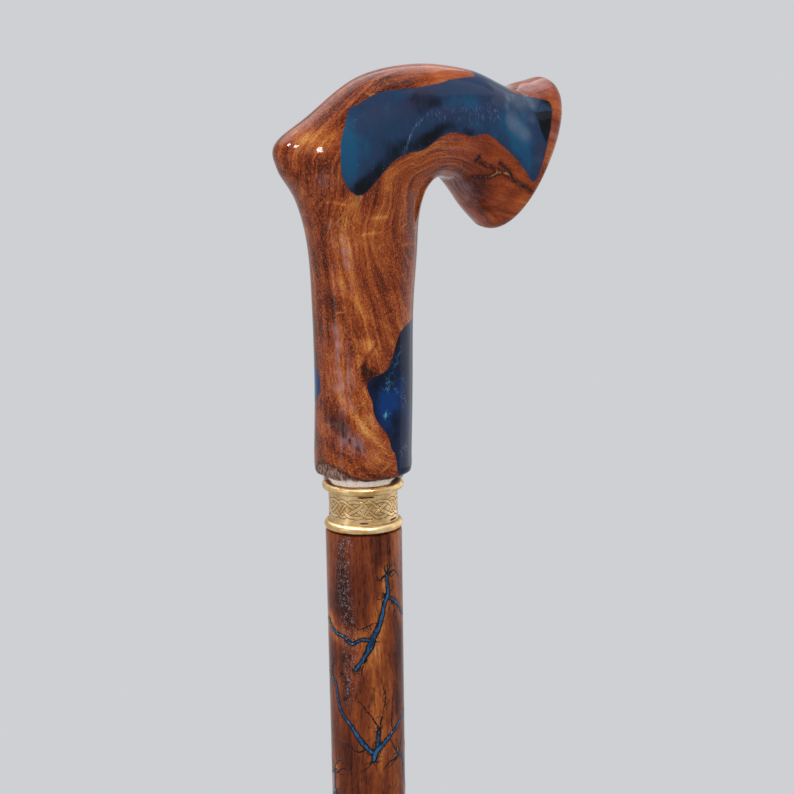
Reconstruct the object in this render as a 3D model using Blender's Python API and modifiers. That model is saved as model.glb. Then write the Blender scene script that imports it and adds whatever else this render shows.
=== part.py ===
"""Walking stick with a derby handle of burl wood and blue resin, an engraved brass collar, a tapered
wooden shaft whose burnt veins are filled with blue resin, and a rubber tip.

Metres, +Z up. The origin is the centre of the tip's ground face, and +X points the way the handle's
nose points. The handle screws off the shaft, and the tip pulls off its foot.
"""

import math

import bmesh
import bpy
import numpy as np
from mathutils import Vector
from mathutils.bvhtree import BVHTree

MM = 0.001

# Driving sizes, from the ground up

CLEARANCE = 0.3 * MM

TIP_FLOOR = 10.0 * MM
TIP_BORE_DEPTH = 38.0 * MM
TIP_WALL = 3.4 * MM
TIP_GROUND_RADIUS = 18.0 * MM
TIP_FOOT_HEIGHT = 7.0 * MM
TIP_FLARE_HEIGHT = 14.0 * MM
TIP_LIP_HEIGHT = 4.0 * MM
TIP_LIP_STEP = 0.8 * MM
TREAD_WIDTH = 1.8 * MM
TREAD_DEPTH = 1.5 * MM
TREAD_RADII = (6.5 * MM, 11.5 * MM)

WASHER_THICKNESS = 1.2 * MM
WASHER_HOLE_RADIUS = 3.0 * MM

SHAFT_LENGTH = 751.3 * MM
SHAFT_TOP_RADIUS = 12.8 * MM
SHAFT_FOOT_RADIUS = 9.5 * MM
SHAFT_SIDES = 32
SHAFT_EDGE = 0.8 * MM
SHAFT_STRAIGHT_OVER_TIP = 6.0 * MM

COLLAR_HEIGHT = 16.3 * MM
COLLAR_TOP_RIM_STEP = 0.8 * MM
COLLAR_FOOT_RIM_STEP = 0.3 * MM
COLLAR_WAIST_STEP = 1.1 * MM
COLLAR_HOLLOW = 0.25 * MM
BEAD_RADIUS = 1.5 * MM

COLLAR_WALL = 2.4 * MM

TENON_WALL = 1.4 * MM
INSERT_WALL = 2.0 * MM
STUD_IN_HANDLE = 38.0 * MM
STUD_IN_SHAFT = 24.0 * MM
STUD_POINT = 1.0 * MM
BORE_OVERRUN = 5.0 * MM
INSERT_LENGTH = 20.0 * MM
INSERT_BANDS = 3
INSERT_GROOVE_WIDTH = 2.0 * MM
INSERT_GROOVE_DEPTH = 0.6 * MM

HANDLE_FOOT_STEP = 1.2 * MM
FOOT_BEVEL_HEIGHT = 1.0 * MM
FOOT_BEVEL_INSET = 1.6 * MM
FOOT_ROUND_TOP = 6.0 * MM
NOSE_BULGE = 6.0 * MM
HANDLE_SQUARENESS = 2.2
NOSE_SQUARENESS = 3.0
HANDLE_ROWS = 40
HANDLE_COLUMNS = 28
NOSE_ROWS = 6
FOOT_ROWS = 3

# Radii and heights that follow from them: the collar's wall decides the tenon in it, and the tenon's wall
# decides the insert and the stud

COLLAR_WAIST = SHAFT_TOP_RADIUS - COLLAR_WAIST_STEP
COLLAR_BORE = COLLAR_WAIST - COLLAR_WALL
TENON_RADIUS = COLLAR_BORE - CLEARANCE
INSERT_SEAT = TENON_RADIUS - TENON_WALL
INSERT_RADIUS = INSERT_SEAT - CLEARANCE
INSERT_BORE = INSERT_RADIUS - INSERT_WALL
STUD_RADIUS = INSERT_BORE - CLEARANCE

TIP_TOP = TIP_FLOOR + TIP_BORE_DEPTH
WASHER_BASE = TIP_FLOOR + CLEARANCE
SHAFT_BASE = WASHER_BASE + WASHER_THICKNESS + CLEARANCE
SHOULDER = SHAFT_BASE + SHAFT_LENGTH
COLLAR_BASE = SHOULDER + CLEARANCE
HANDLE_BASE = COLLAR_BASE + COLLAR_HEIGHT + CLEARANCE
TENON_TOP = HANDLE_BASE - CLEARANCE

# Handle stations from the foot to the nose, in mm above the handle's foot and forward of the shaft's axis:
# the crest's x and z, the throat's x and z, and half the width. The crest line runs up the back of the
# neck, round the heel and along the top. The throat line runs up the front of the neck, under the beam
# and down the back of the lobe.

HANDLE_STATIONS = (
    (-15.5, 9.0, 16.0, 9.0, 16.0),
    (-15.0, 30.5, 17.0, 30.0, 15.5),
    (-15.5, 56.0, 18.0, 56.0, 15.0),
    (-17.0, 79.0, 20.0, 75.0, 15.0),
    (-21.5, 95.0, 21.5, 86.5, 14.5),
    (-28.5, 106.5, 24.0, 93.5, 14.5),
    (-29.0, 115.0, 26.5, 97.0, 15.0),
    (-16.5, 123.0, 29.0, 98.5, 15.0),
    (2.5, 134.0, 32.0, 98.0, 15.5),
    (23.5, 136.5, 34.5, 97.0, 16.0),
    (43.5, 133.0, 37.0, 94.0, 16.5),
    (58.5, 126.0, 40.0, 90.0, 17.5),
    (67.0, 126.5, 43.5, 85.0, 18.5),
    (73.5, 127.5, 48.5, 79.5, 19.0),
)

# Outline of the resin saddle seen from the side, x and z in mm. It reaches over the crest between its
# two highest points, and narrows about its centre from the near side of the handle to the far side.

SADDLE_OUTLINE = (
    (-10.5, 121.5), (-2.0, 128.5), (12.0, 131.0), (30.5, 132.5), (42.5, 131.5), (44.5, 140.5),
    (57.0, 137.0), (56.5, 125.5), (68.0, 121.5), (63.0, 110.5), (57.0, 96.5), (49.0, 106.5),
    (41.0, 113.5), (26.5, 115.5), (17.5, 111.0), (8.5, 109.5), (-8.0, 98.0), (-14.0, 104.5),
    (-14.5, 112.0),
)
SADDLE_SCALE_NEAR = 1.05
SADDLE_SCALE_FAR = 0.85
SADDLE_REACH = 30.0

# The neck's resin fills a wedge of the neck: height in mm, and the bearings of its two sides in degrees

NECK_WEDGE = (
    (2.0, -74.0, 14.0),
    (9.0, -77.0, 16.0),
    (15.0, -86.0, 23.0),
    (21.0, -98.0, 28.0),
    (27.0, -108.0, 33.0),
    (34.5, -115.0, 39.0),
    (38.5, -98.0, 30.0),
    (42.0, -82.0, 20.0),
    (49.0, -71.0, 2.0),
    (54.0, -43.0, -26.0),
)
NECK_WEDGE_DEPTH_RADIUS = 8.5
NECK_WEDGE_OUTSIDE = 27.0
NECK_WEDGE_STEPS = 5

# The small resin pocket at the back of the neck, an ellipsoid: bearing in degrees, distance from the
# axis and height in mm, and its half sizes along the radius, round the neck and up, in mm

REAR_POCKET_BEARING = 142.0
REAR_POCKET_RADIUS = 15.0
REAR_POCKET_HEIGHT = 33.5
REAR_POCKET_HALF_SIZES = (5.0, 9.5, 7.0)

# Filled crack on the near side of the lobe: x, z and half width in mm

LOBE_CRACK = (
    ((37.5, 99.5, 0.5), (43.5, 99.0, 0.6), (48.5, 98.5, 0.8), (53.5, 95.5, 0.6)),
    ((36.0, 107.0, 0.5), (39.0, 104.5, 0.8), (43.5, 99.0, 0.6)),
)

# Two figures of burnt veins. A point is the arc round the shaft, the height and half the width, in mm,
# and each figure hangs from a bearing and a height below the shoulder.

STROKE = (
    ((8.0, -13.9, 0.5), (8.3, -20.2, 0.7), (6.6, -24.1, 0.8), (5.4, -29.4, 0.9), (3.0, -34.4, 1.1),
     (1.4, -38.1, 1.3), (-0.3, -41.5, 0.7), (-3.8, -46.1, 0.6)),
    ((7.9, -21.2, 0.6), (12.7, -24.7, 0.5), (16.2, -28.8, 0.4)),
    ((2.2, -36.0, 0.7), (-1.2, -35.6, 0.5), (-4.7, -37.2, 0.6), (-7.6, -35.1, 0.6), (-11.3, -34.1, 0.6),
     (-15.8, -30.8, 0.5)),
)
FORK = (
    ((-14.5, -50.2, 0.4), (-12.0, -52.0, 0.5), (-11.0, -57.4, 0.6), (-9.2, -62.0, 0.6), (-5.6, -65.9, 0.7),
     (-2.5, -70.5, 0.8), (1.0, -74.7, 0.7), (2.5, -75.2, 0.6)),
    ((2.1, -77.9, 0.6), (2.8, -74.9, 1.0), (4.8, -73.1, 0.9), (8.9, -69.4, 0.6), (12.2, -66.8, 0.6),
     (16.6, -63.8, 0.5)),
    ((3.2, -74.4, 0.6), (3.5, -71.5, 0.6), (4.0, -67.7, 0.5)),
)

# Where each figure lies: its shape, bearing in degrees, drop below the shoulder in mm, and -1 if mirrored

FRONT_BEARING = -122.0
VEINS = (
    (STROKE, FRONT_BEARING, 0.0, 1),
    (FORK, FRONT_BEARING, 0.0, 1),
    (FORK, FRONT_BEARING + 124.0, 27.0, 1),
    (STROKE, FRONT_BEARING - 27.0, 70.0, -1),
    (FORK, 170.0, 110.0, 1),
    (STROKE, -60.0, 220.0, -1),
    (FORK, 70.0, 270.0, 1),
    (STROKE, -137.0, 380.0, 1),
    (FORK, -10.0, 450.0, -1),
)

# The scene, cleared, with one collection for the stick and one for what shapes it

for leftover in list(bpy.data.objects):
    bpy.data.objects.remove(leftover, do_unlink=True)

stick = bpy.data.collections.new("walking_stick")
cutters = bpy.data.collections.new("cutters")
bpy.context.scene.collection.children.link(stick)
bpy.context.scene.collection.children.link(cutters)
cutters.hide_render = True


# Helpers


def material(name, colour, roughness, metallic=0.0):
    """A Principled material of one colour."""
    made = bpy.data.materials.new(name)
    made.use_nodes = True
    shader = made.node_tree.nodes["Principled BSDF"]
    shader.inputs["Base Color"].default_value = (*colour, 1.0)
    shader.inputs["Roughness"].default_value = roughness
    shader.inputs["Metallic"].default_value = metallic
    return made


def add_piece(name, mesh, finish, parent):
    """An object of the stick, with its own material, at its parent's place."""
    obj = bpy.data.objects.new(name, mesh)
    mesh.materials.clear()
    mesh.materials.append(finish)
    mesh.shade_smooth()
    mesh.set_sharp_from_angle(angle=math.radians(35))
    obj.parent = parent
    stick.objects.link(obj)
    return obj


def add_cutter(name, mesh, parent):
    """A hidden object that only shapes others."""
    obj = bpy.data.objects.new(name, mesh)
    obj.parent = parent
    obj.hide_render = True
    obj.display_type = "WIRE"
    cutters.objects.link(obj)
    return obj


def add_place(name, height):
    """An empty on the shaft's axis, which pieces hang from."""
    obj = bpy.data.objects.new(name, None)
    obj.location = (0.0, 0.0, height)
    obj.empty_display_size = 20 * MM
    stick.objects.link(obj)
    return obj


def boolean(obj, other, operation):
    """Adds a Boolean modifier on obj with the mesh object other."""
    step = obj.modifiers.new(f"{operation.lower()} {other.name}", "BOOLEAN")
    step.operation = operation
    step.solver = "EXACT"
    step.object = other


def profile_mesh(name, profile):
    """A turned piece's profile at +X, of (radius, height) points, closed if it doesn't end on the axis."""
    count = len(profile)
    edges = [(i, i + 1) for i in range(count - 1)]
    if profile[0][0] > 0.0:
        edges.append((count - 1, 0))
    mesh = bpy.data.meshes.new(name)
    mesh.from_pydata([(radius, 0.0, height) for radius, height in profile], edges, [])
    return mesh


def turn(obj, sides):
    """Turns an object's profile about Z."""
    step = obj.modifiers.new("turned", "SCREW")
    step.axis = "Z"
    step.angle = math.tau
    step.steps = sides
    step.render_steps = sides
    step.use_merge_vertices = True
    step.merge_threshold = 0.01 * MM


def arc(centre, radius, start, end, count):
    """Points of a circular arc in the profile plane, angles in degrees from +radius towards up."""
    angles = np.radians(np.linspace(start, end, count))
    return [(centre[0] + radius * math.cos(a), centre[1] + radius * math.sin(a)) for a in angles]


def grown(mesh, distance):
    """A copy of a closed mesh with every face moved outwards by the distance."""
    shape = bmesh.new()
    shape.from_mesh(mesh)
    shape.normal_update()
    moves = [vert.normal * distance * vert.calc_shell_factor() for vert in shape.verts]
    for vert, move in zip(shape.verts, moves):
        vert.co += move
    copy = bpy.data.meshes.new(mesh.name + "_grown")
    shape.to_mesh(copy)
    shape.free()
    return copy


def loft_mesh(name, rings):
    """A closed mesh of triangles through rings of equally many points, with a flat face at each end."""
    rows, columns = len(rings), len(rings[0])
    points = [point for ring in rings for point in ring]
    faces = []
    for row in range(rows - 1):
        for column in range(columns):
            after = (column + 1) % columns
            low, high = row * columns, (row + 1) * columns
            faces.append((low + column, low + after, high + after, high + column))
    faces.append(tuple(reversed(range(columns))))
    faces.append(tuple(range((rows - 1) * columns, rows * columns)))
    mesh = bpy.data.meshes.new(name)
    mesh.from_pydata([tuple(point) for point in points], [], faces)
    shape = bmesh.new()
    shape.from_mesh(mesh)
    bmesh.ops.triangulate(shape, faces=shape.faces)
    bmesh.ops.recalc_face_normals(shape, faces=shape.faces)
    shape.to_mesh(mesh)
    shape.free()
    return mesh


def tube_mesh(name, points, widths, growth):
    """A closed tube through points, with a half width at each, both grown by the same amount."""
    path = [Vector(point) for point in points]
    path[0] = path[0] + (path[0] - path[1]).normalized() * growth
    path[-1] = path[-1] + (path[-1] - path[-2]).normalized() * growth
    curve = bpy.data.curves.new(name, "CURVE")
    curve.dimensions = "3D"
    curve.bevel_depth = 1.0
    curve.bevel_resolution = 1
    curve.use_fill_caps = True
    spline = curve.splines.new("POLY")
    spline.points.add(len(path) - 1)
    for target, place, width in zip(spline.points, path, widths):
        target.co = (*place, 1.0)
        target.radius = width + growth
    guide = bpy.data.objects.new(name, curve)
    cutters.objects.link(guide)
    bpy.context.view_layer.update()
    mesh = bpy.data.meshes.new_from_object(guide.evaluated_get(bpy.context.evaluated_depsgraph_get()))
    bpy.data.objects.remove(guide)
    bpy.data.curves.remove(curve)
    shape = bmesh.new()
    shape.from_mesh(mesh)
    bmesh.ops.remove_doubles(shape, verts=shape.verts, dist=0.001 * MM)
    bmesh.ops.recalc_face_normals(shape, faces=shape.faces)
    shape.to_mesh(mesh)
    shape.free()
    return mesh


def add_branches(name, branches, growth, parent):
    """Cutters for branches, one tube each. A branch is a list of (x, y, z, half width) points."""
    tubes = []
    for number, branch in enumerate(branches, start=1):
        places = [point[:3] for point in branch]
        widths = [point[3] for point in branch]
        mesh = tube_mesh(f"{name}_{number}", places, widths, growth)
        tubes.append(add_cutter(f"{name}_{number}", mesh, parent))
    return tubes


def keep_branches(obj, tubes):
    """Leaves only what lies in the tubes, joined."""
    for tube in tubes[1:]:
        boolean(tubes[0], tube, "UNION")
    boolean(obj, tubes[0], "INTERSECT")


def cut_branches(obj, tubes):
    """Cuts the tubes out, one after another."""
    for tube in tubes:
        boolean(obj, tube, "DIFFERENCE")


shaft_place = add_place("shaft_place", 0.0)
collar_place = add_place("collar_turns_here", COLLAR_BASE)
handle_place = add_place("handle_screws_here", HANDLE_BASE)
tip_place = add_place("tip_slides_here", 0.0)


# Handle form, shared by the wood and the resin


def smooth_rows(rows, count):
    """Rows spaced evenly along a cubic through the given rows, its slopes taken from their neighbours."""
    rows = np.array(rows)
    last = len(rows) - 1
    slopes = np.gradient(rows, axis=0)
    place = np.linspace(0.0, last, count)
    start = np.minimum(place.astype(int), last - 1)
    part = (place - start)[:, None]
    rise = part * part * (3.0 - 2.0 * part)
    from_start = part * (1.0 - part) ** 2
    from_end = part * part * (part - 1.0)
    ends = (1.0 - rise) * rows[start] + rise * rows[start + 1]
    return ends + from_start * slopes[start] + from_end * slopes[start + 1]


def section_ring(crest, throat, half_width):
    """Points of one section of the handle, a superellipse across the line from the throat to the crest."""
    turns = np.linspace(0.0, math.tau, HANDLE_COLUMNS, endpoint=False)
    power = 2.0 / HANDLE_SQUARENESS
    along = np.sign(np.cos(turns)) * np.abs(np.cos(turns)) ** power
    across = np.sign(np.sin(turns)) * np.abs(np.sin(turns)) ** power
    middle = (crest + throat) / 2.0
    half = (crest - throat) / 2.0
    x = middle[0] + half[0] * along
    z = middle[1] + half[1] * along
    return np.stack([x, half_width * across, z], axis=1)


def handle_rings():
    """Rings of the handle's whole outer form, from the flat foot to the bulging nose."""
    stations = smooth_rows(HANDLE_STATIONS, HANDLE_ROWS) * MM
    lowest = stations[0]
    rings = []
    foot_radius = SHAFT_TOP_RADIUS + COLLAR_TOP_RIM_STEP - HANDLE_FOOT_STEP
    rings.append(section_ring(np.array([-foot_radius, 0.0]), np.array([foot_radius, 0.0]), foot_radius))
    bevel_radius = foot_radius + FOOT_BEVEL_INSET
    for step in range(FOOT_ROWS + 1):
        turned = math.radians(90.0 * step / FOOT_ROWS)
        share = math.sin(turned)
        height = FOOT_BEVEL_HEIGHT + (FOOT_ROUND_TOP - FOOT_BEVEL_HEIGHT) * (1.0 - math.cos(turned))
        crest = np.array([(1.0 - share) * -bevel_radius + share * lowest[0], height])
        throat = np.array([(1.0 - share) * bevel_radius + share * lowest[2], height])
        rings.append(section_ring(crest, throat, (1.0 - share) * bevel_radius + share * lowest[4]))
    for crest_x, crest_z, throat_x, throat_z, half_width in stations:
        rings.append(section_ring(np.array([crest_x, crest_z]), np.array([throat_x, throat_z]), half_width))
    crest, throat, half_width = stations[-1][0:2], stations[-1][2:4], stations[-1][4]
    middle = (crest + throat) / 2.0
    half = (crest - throat) / 2.0
    outward = np.array([half[1], -half[0]]) / np.linalg.norm(half)
    for step in range(1, NOSE_ROWS):
        turned = math.radians(90.0 * step / NOSE_ROWS)
        shrink = math.cos(turned) ** (2.0 / NOSE_SQUARENESS)
        centre = middle + outward * NOSE_BULGE * math.sin(turned) ** (2.0 / NOSE_SQUARENESS)
        rings.append(section_ring(centre + half * shrink, centre - half * shrink, half_width * shrink))
    return rings


handle_form = loft_mesh("handle_form", handle_rings())


# Resin pockets of the handle


def saddle_mesh():
    """A prism through the handle's thickness that narrows from the near side to the far side."""
    outline = np.array(SADDLE_OUTLINE)
    centre = (outline.min(axis=0) + outline.max(axis=0)) / 2.0
    rings = []
    for side, scale in ((-SADDLE_REACH, SADDLE_SCALE_NEAR), (SADDLE_REACH, SADDLE_SCALE_FAR)):
        moved = centre + (outline - centre) * scale
        rings.append([(x * MM, side * MM, z * MM) for x, z in moved])
    return loft_mesh("saddle_pocket", rings)


def wedge_mesh():
    """A wedge of the neck whose two sides wander with the height."""
    rings = []
    for height, start, end in NECK_WEDGE:
        bearings = np.radians(np.linspace(start, end, NECK_WEDGE_STEPS))
        outside = [(NECK_WEDGE_OUTSIDE, bearing) for bearing in bearings]
        inside = [(NECK_WEDGE_DEPTH_RADIUS, bearing) for bearing in reversed(bearings)]
        ring = [
            (radius * math.cos(bearing) * MM, radius * math.sin(bearing) * MM, height * MM)
            for radius, bearing in outside + inside
        ]
        rings.append(ring)
    return loft_mesh("neck_pocket", rings)


def rear_pocket_mesh():
    """An ellipsoid let into the back of the neck."""
    bearing = math.radians(REAR_POCKET_BEARING)
    shape = bmesh.new()
    bmesh.ops.create_uvsphere(shape, u_segments=20, v_segments=12, radius=1.0)
    for vert in shape.verts:
        radial, tangent, up = (part * size for part, size in zip(vert.co, REAR_POCKET_HALF_SIZES))
        distance = REAR_POCKET_RADIUS + radial
        vert.co = (
            (distance * math.cos(bearing) - tangent * math.sin(bearing)) * MM,
            (distance * math.sin(bearing) + tangent * math.cos(bearing)) * MM,
            (REAR_POCKET_HEIGHT + up) * MM,
        )
    mesh = bpy.data.meshes.new("rear_pocket")
    shape.to_mesh(mesh)
    shape.free()
    return mesh


burl_wood = material("burl_wood", (0.33, 0.11, 0.035), 0.12)
handle_wood = add_piece("handle_wood", handle_form.copy(), burl_wood, handle_place)

RESINS = (
    ("handle_resin_saddle", saddle_mesh(), (0.02, 0.10, 0.26)),
    ("handle_resin_neck", wedge_mesh(), (0.02, 0.09, 0.30)),
    ("handle_resin_rear", rear_pocket_mesh(), (0.02, 0.09, 0.28)),
)
for resin_name, pocket, colour in RESINS:
    resin = add_piece(resin_name, handle_form.copy(), material(resin_name, colour, 0.08), handle_place)
    boolean(resin, add_cutter(pocket.name, pocket, handle_place), "INTERSECT")
    clearing = add_cutter(pocket.name + "_clear", grown(pocket, CLEARANCE), handle_place)
    boolean(handle_wood, clearing, "DIFFERENCE")


# Filled crack of the lobe


def near_surface(x, z):
    """The point of the handle's near side at this x and z, both in mm."""
    hit = handle_tree.ray_cast(Vector((x * MM, -SADDLE_REACH * MM, z * MM)), Vector((0.0, 1.0, 0.0)))
    return hit[0]


form_shape = bmesh.new()
form_shape.from_mesh(handle_form)
handle_tree = BVHTree.FromBMesh(form_shape)
form_shape.free()

crack_branches = [[(*near_surface(x, z), width * MM) for x, z, width in branch] for branch in LOBE_CRACK]
crack_fill = material("crack_fill", (0.20, 0.12, 0.04), 0.2)
lobe_crack = add_piece("lobe_crack_fill", handle_form.copy(), crack_fill, handle_place)
keep_branches(lobe_crack, add_branches("crack", crack_branches, 0.0, handle_place))
cut_branches(handle_wood, add_branches("crack_clear", crack_branches, CLEARANCE, handle_place))


# Stud, glued into a blind bore of the handle


def cylinder_mesh(name, radius, low, high, sides):
    """A plain cylinder along Z."""
    shape = bmesh.new()
    length = high - low
    bmesh.ops.create_cone(shape, cap_ends=True, segments=sides, radius1=radius, radius2=radius, depth=length)
    bmesh.ops.translate(shape, verts=shape.verts, vec=(0.0, 0.0, (high + low) / 2.0))
    mesh = bpy.data.meshes.new(name)
    shape.to_mesh(mesh)
    shape.free()
    return mesh


stud_bore = cylinder_mesh("stud_bore", INSERT_BORE, -BORE_OVERRUN, STUD_IN_HANDLE + CLEARANCE, 28)
boolean(handle_wood, add_cutter("stud_bore", stud_bore, handle_place), "DIFFERENCE")

stud_profile = [
    (0.0, STUD_IN_HANDLE),
    (STUD_RADIUS - STUD_POINT, STUD_IN_HANDLE),
    (STUD_RADIUS, STUD_IN_HANDLE - STUD_POINT),
    (STUD_RADIUS, STUD_POINT - STUD_IN_SHAFT),
    (STUD_RADIUS - STUD_POINT, -STUD_IN_SHAFT),
    (0.0, -STUD_IN_SHAFT),
]
steel = material("stud_steel", (0.55, 0.55, 0.56), 0.3, 1.0)
joint_stud = add_piece("joint_stud", profile_mesh("joint_stud", stud_profile), steel, handle_place)
turn(joint_stud, 28)


# Brass collar, held on the tenon between the shaft's shoulder and the handle's foot

top_rim = SHAFT_TOP_RADIUS + COLLAR_TOP_RIM_STEP
foot_rim = SHAFT_TOP_RADIUS + COLLAR_FOOT_RIM_STEP
top_bead = (top_rim - BEAD_RADIUS, COLLAR_HEIGHT - BEAD_RADIUS)
foot_bead = (foot_rim - BEAD_RADIUS, BEAD_RADIUS)
collar_profile = [(COLLAR_BORE, COLLAR_HEIGHT)]
collar_profile += arc(top_bead, BEAD_RADIUS, 90, -70, 9)
collar_profile += [
    (COLLAR_WAIST, COLLAR_HEIGHT - 2.4 * BEAD_RADIUS),
    (COLLAR_WAIST - COLLAR_HOLLOW, COLLAR_HEIGHT / 2.0),
    (COLLAR_WAIST, 2.4 * BEAD_RADIUS),
]
collar_profile += arc(foot_bead, BEAD_RADIUS, 70, -90, 9)
collar_profile += [(COLLAR_BORE, 0.0)]
brass = material("collar_brass", (0.62, 0.42, 0.16), 0.28, 1.0)
collar = add_piece("brass_collar", profile_mesh("brass_collar", collar_profile), brass, collar_place)
turn(collar, 40)


# Shaft, with a tenon at the top, the threaded insert's seat in it and the tip's seat at the foot

insert_base = TENON_TOP - INSERT_LENGTH
stud_well = HANDLE_BASE - STUD_IN_SHAFT - CLEARANCE
straight_top = TIP_TOP + SHAFT_STRAIGHT_OVER_TIP

shaft_outside = [
    (SHAFT_TOP_RADIUS - SHAFT_EDGE, SHOULDER),
    (SHAFT_TOP_RADIUS, SHOULDER - SHAFT_EDGE),
    (SHAFT_FOOT_RADIUS, straight_top),
    (SHAFT_FOOT_RADIUS, SHAFT_BASE + SHAFT_EDGE),
    (SHAFT_FOOT_RADIUS - SHAFT_EDGE, SHAFT_BASE),
    (0.0, SHAFT_BASE),
]
shaft_inside = [
    (0.0, stud_well),
    (INSERT_BORE, stud_well),
    (INSERT_BORE, insert_base - CLEARANCE),
    (INSERT_SEAT, insert_base - CLEARANCE),
    (INSERT_SEAT, TENON_TOP),
    (TENON_RADIUS, TENON_TOP),
    (TENON_RADIUS, SHOULDER),
]
shaft_wood = material("shaft_wood", (0.22, 0.07, 0.03), 0.15)
shaft = add_piece("shaft", profile_mesh("shaft", shaft_inside + shaft_outside), shaft_wood, shaft_place)
turn(shaft, SHAFT_SIDES)


# Veins burnt into the shaft, each figure filled with resin flush with the surface


def shaft_radius(height):
    """The shaft's radius at a height over the ground, between the tip's seat and the shoulder."""
    rise = (height - straight_top) / (SHOULDER - SHAFT_EDGE - straight_top)
    return SHAFT_FOOT_RADIUS + (SHAFT_TOP_RADIUS - SHAFT_FOOT_RADIUS) * min(max(rise, 0.0), 1.0)


def vein_branches(figure, bearing, drop, side):
    """The figure's branches laid round the shaft, as (x, y, z, half width) points."""
    branches = []
    for branch in figure:
        laid = []
        for along, height, width in branch:
            z = SHOULDER + (height - drop) * MM
            radius = shaft_radius(z)
            angle = math.radians(bearing) + side * along * MM / radius
            laid.append((radius * math.cos(angle), radius * math.sin(angle), z, width * MM))
        branches.append(laid)
    return branches


vein_resin = material("vein_resin", (0.03, 0.16, 0.45), 0.12)
for number, (figure, bearing, drop, side) in enumerate(VEINS, start=1):
    branches = vein_branches(figure, bearing, drop, side)
    envelope = profile_mesh("vein_envelope", shaft_inside + shaft_outside)
    vein = add_piece(f"vein_inlay_{number}", envelope, vein_resin.copy(), shaft_place)
    turn(vein, SHAFT_SIDES)
    keep_branches(vein, add_branches(f"vein_{number}", branches, 0.0, shaft_place))
    cut_branches(shaft, add_branches(f"groove_{number}", branches, CLEARANCE, shaft_place))


# Threaded insert, glued into the tenon

groove_radius = INSERT_RADIUS - INSERT_GROOVE_DEPTH
band_step = (INSERT_LENGTH + INSERT_GROOVE_WIDTH) / INSERT_BANDS
insert_profile = []
for band in range(INSERT_BANDS):
    band_top = TENON_TOP - band * band_step
    band_base = band_top - band_step + INSERT_GROOVE_WIDTH
    insert_profile += [(INSERT_RADIUS, band_top), (INSERT_RADIUS, band_base)]
    if band < INSERT_BANDS - 1:
        insert_profile += [(groove_radius, band_base), (groove_radius, band_base - INSERT_GROOVE_WIDTH)]
insert_profile += [(INSERT_BORE, insert_base), (INSERT_BORE, TENON_TOP)]
insert_brass = material("insert_brass", (0.66, 0.48, 0.20), 0.35, 1.0)
insert_mesh = profile_mesh("threaded_insert", insert_profile)
threaded_insert = add_piece("threaded_insert", insert_mesh, insert_brass, shaft_place)
turn(threaded_insert, 28)


# Rubber tip, pushed over the shaft's foot, with a steel washer under the shaft

tip_bore = SHAFT_FOOT_RADIUS + CLEARANCE
tip_outside = tip_bore + TIP_WALL
tip_profile = [
    (0.0, TIP_FLOOR),
    (tip_bore, TIP_FLOOR),
    (tip_bore, TIP_TOP),
    (tip_outside, TIP_TOP),
    (tip_outside + TIP_LIP_STEP, TIP_TOP - TIP_LIP_STEP),
    (tip_outside + TIP_LIP_STEP, TIP_TOP - TIP_LIP_HEIGHT + TIP_LIP_STEP),
    (tip_outside, TIP_TOP - TIP_LIP_HEIGHT),
]
flare_top = TIP_FOOT_HEIGHT + TIP_FLARE_HEIGHT
for share in np.linspace(0.0, 1.0, 6):
    spread = (TIP_GROUND_RADIUS - tip_outside) * share * share
    tip_profile.append((tip_outside + spread, flare_top - TIP_FLARE_HEIGHT * share))
tip_profile += [(TIP_GROUND_RADIUS, TREAD_DEPTH), (TIP_GROUND_RADIUS - TREAD_DEPTH / 2.0, 0.0)]
for tread in reversed(TREAD_RADII):
    tip_profile += [
        (tread + TREAD_WIDTH / 2.0, 0.0),
        (tread + TREAD_WIDTH / 2.0, TREAD_DEPTH),
        (tread - TREAD_WIDTH / 2.0, TREAD_DEPTH),
        (tread - TREAD_WIDTH / 2.0, 0.0),
    ]
tip_profile.append((0.0, 0.0))
rubber = material("tip_rubber", (0.03, 0.03, 0.032), 0.75)
rubber_tip = add_piece("rubber_tip", profile_mesh("rubber_tip", tip_profile), rubber, tip_place)
turn(rubber_tip, 40)

washer_top = WASHER_BASE + WASHER_THICKNESS
washer_radius = tip_bore - CLEARANCE
washer_profile = [
    (WASHER_HOLE_RADIUS, washer_top),
    (washer_radius, washer_top),
    (washer_radius, WASHER_BASE),
    (WASHER_HOLE_RADIUS, WASHER_BASE),
]
washer_steel = material("washer_steel", (0.50, 0.50, 0.51), 0.35, 1.0)
washer = add_piece("tip_washer", profile_mesh("tip_washer", washer_profile), washer_steel, tip_place)
turn(washer, 32)
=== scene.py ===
import math

import bpy
import numpy as np
from mathutils import Matrix, Vector


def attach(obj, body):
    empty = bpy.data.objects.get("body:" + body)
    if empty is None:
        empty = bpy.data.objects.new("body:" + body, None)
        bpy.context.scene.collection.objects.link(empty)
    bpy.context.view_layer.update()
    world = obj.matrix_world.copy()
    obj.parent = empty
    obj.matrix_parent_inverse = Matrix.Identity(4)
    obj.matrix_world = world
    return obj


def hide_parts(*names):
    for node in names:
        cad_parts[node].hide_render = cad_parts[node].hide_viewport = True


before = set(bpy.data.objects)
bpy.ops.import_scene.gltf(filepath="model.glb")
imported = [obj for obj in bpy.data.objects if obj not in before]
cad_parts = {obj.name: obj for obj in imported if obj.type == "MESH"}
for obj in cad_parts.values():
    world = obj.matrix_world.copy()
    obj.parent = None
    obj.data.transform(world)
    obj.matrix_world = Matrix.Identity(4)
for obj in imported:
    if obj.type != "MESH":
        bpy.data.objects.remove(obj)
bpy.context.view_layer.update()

# Shaft
# A hardwood shaft turned to a long taper, with a tenon at its top for the collar and a bored seat for
# the insert. It is stained red-brown and sealed in clear gloss that dried with an orange peel.
# Sizes are in mm over the ground, as in the CAD model.

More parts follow.
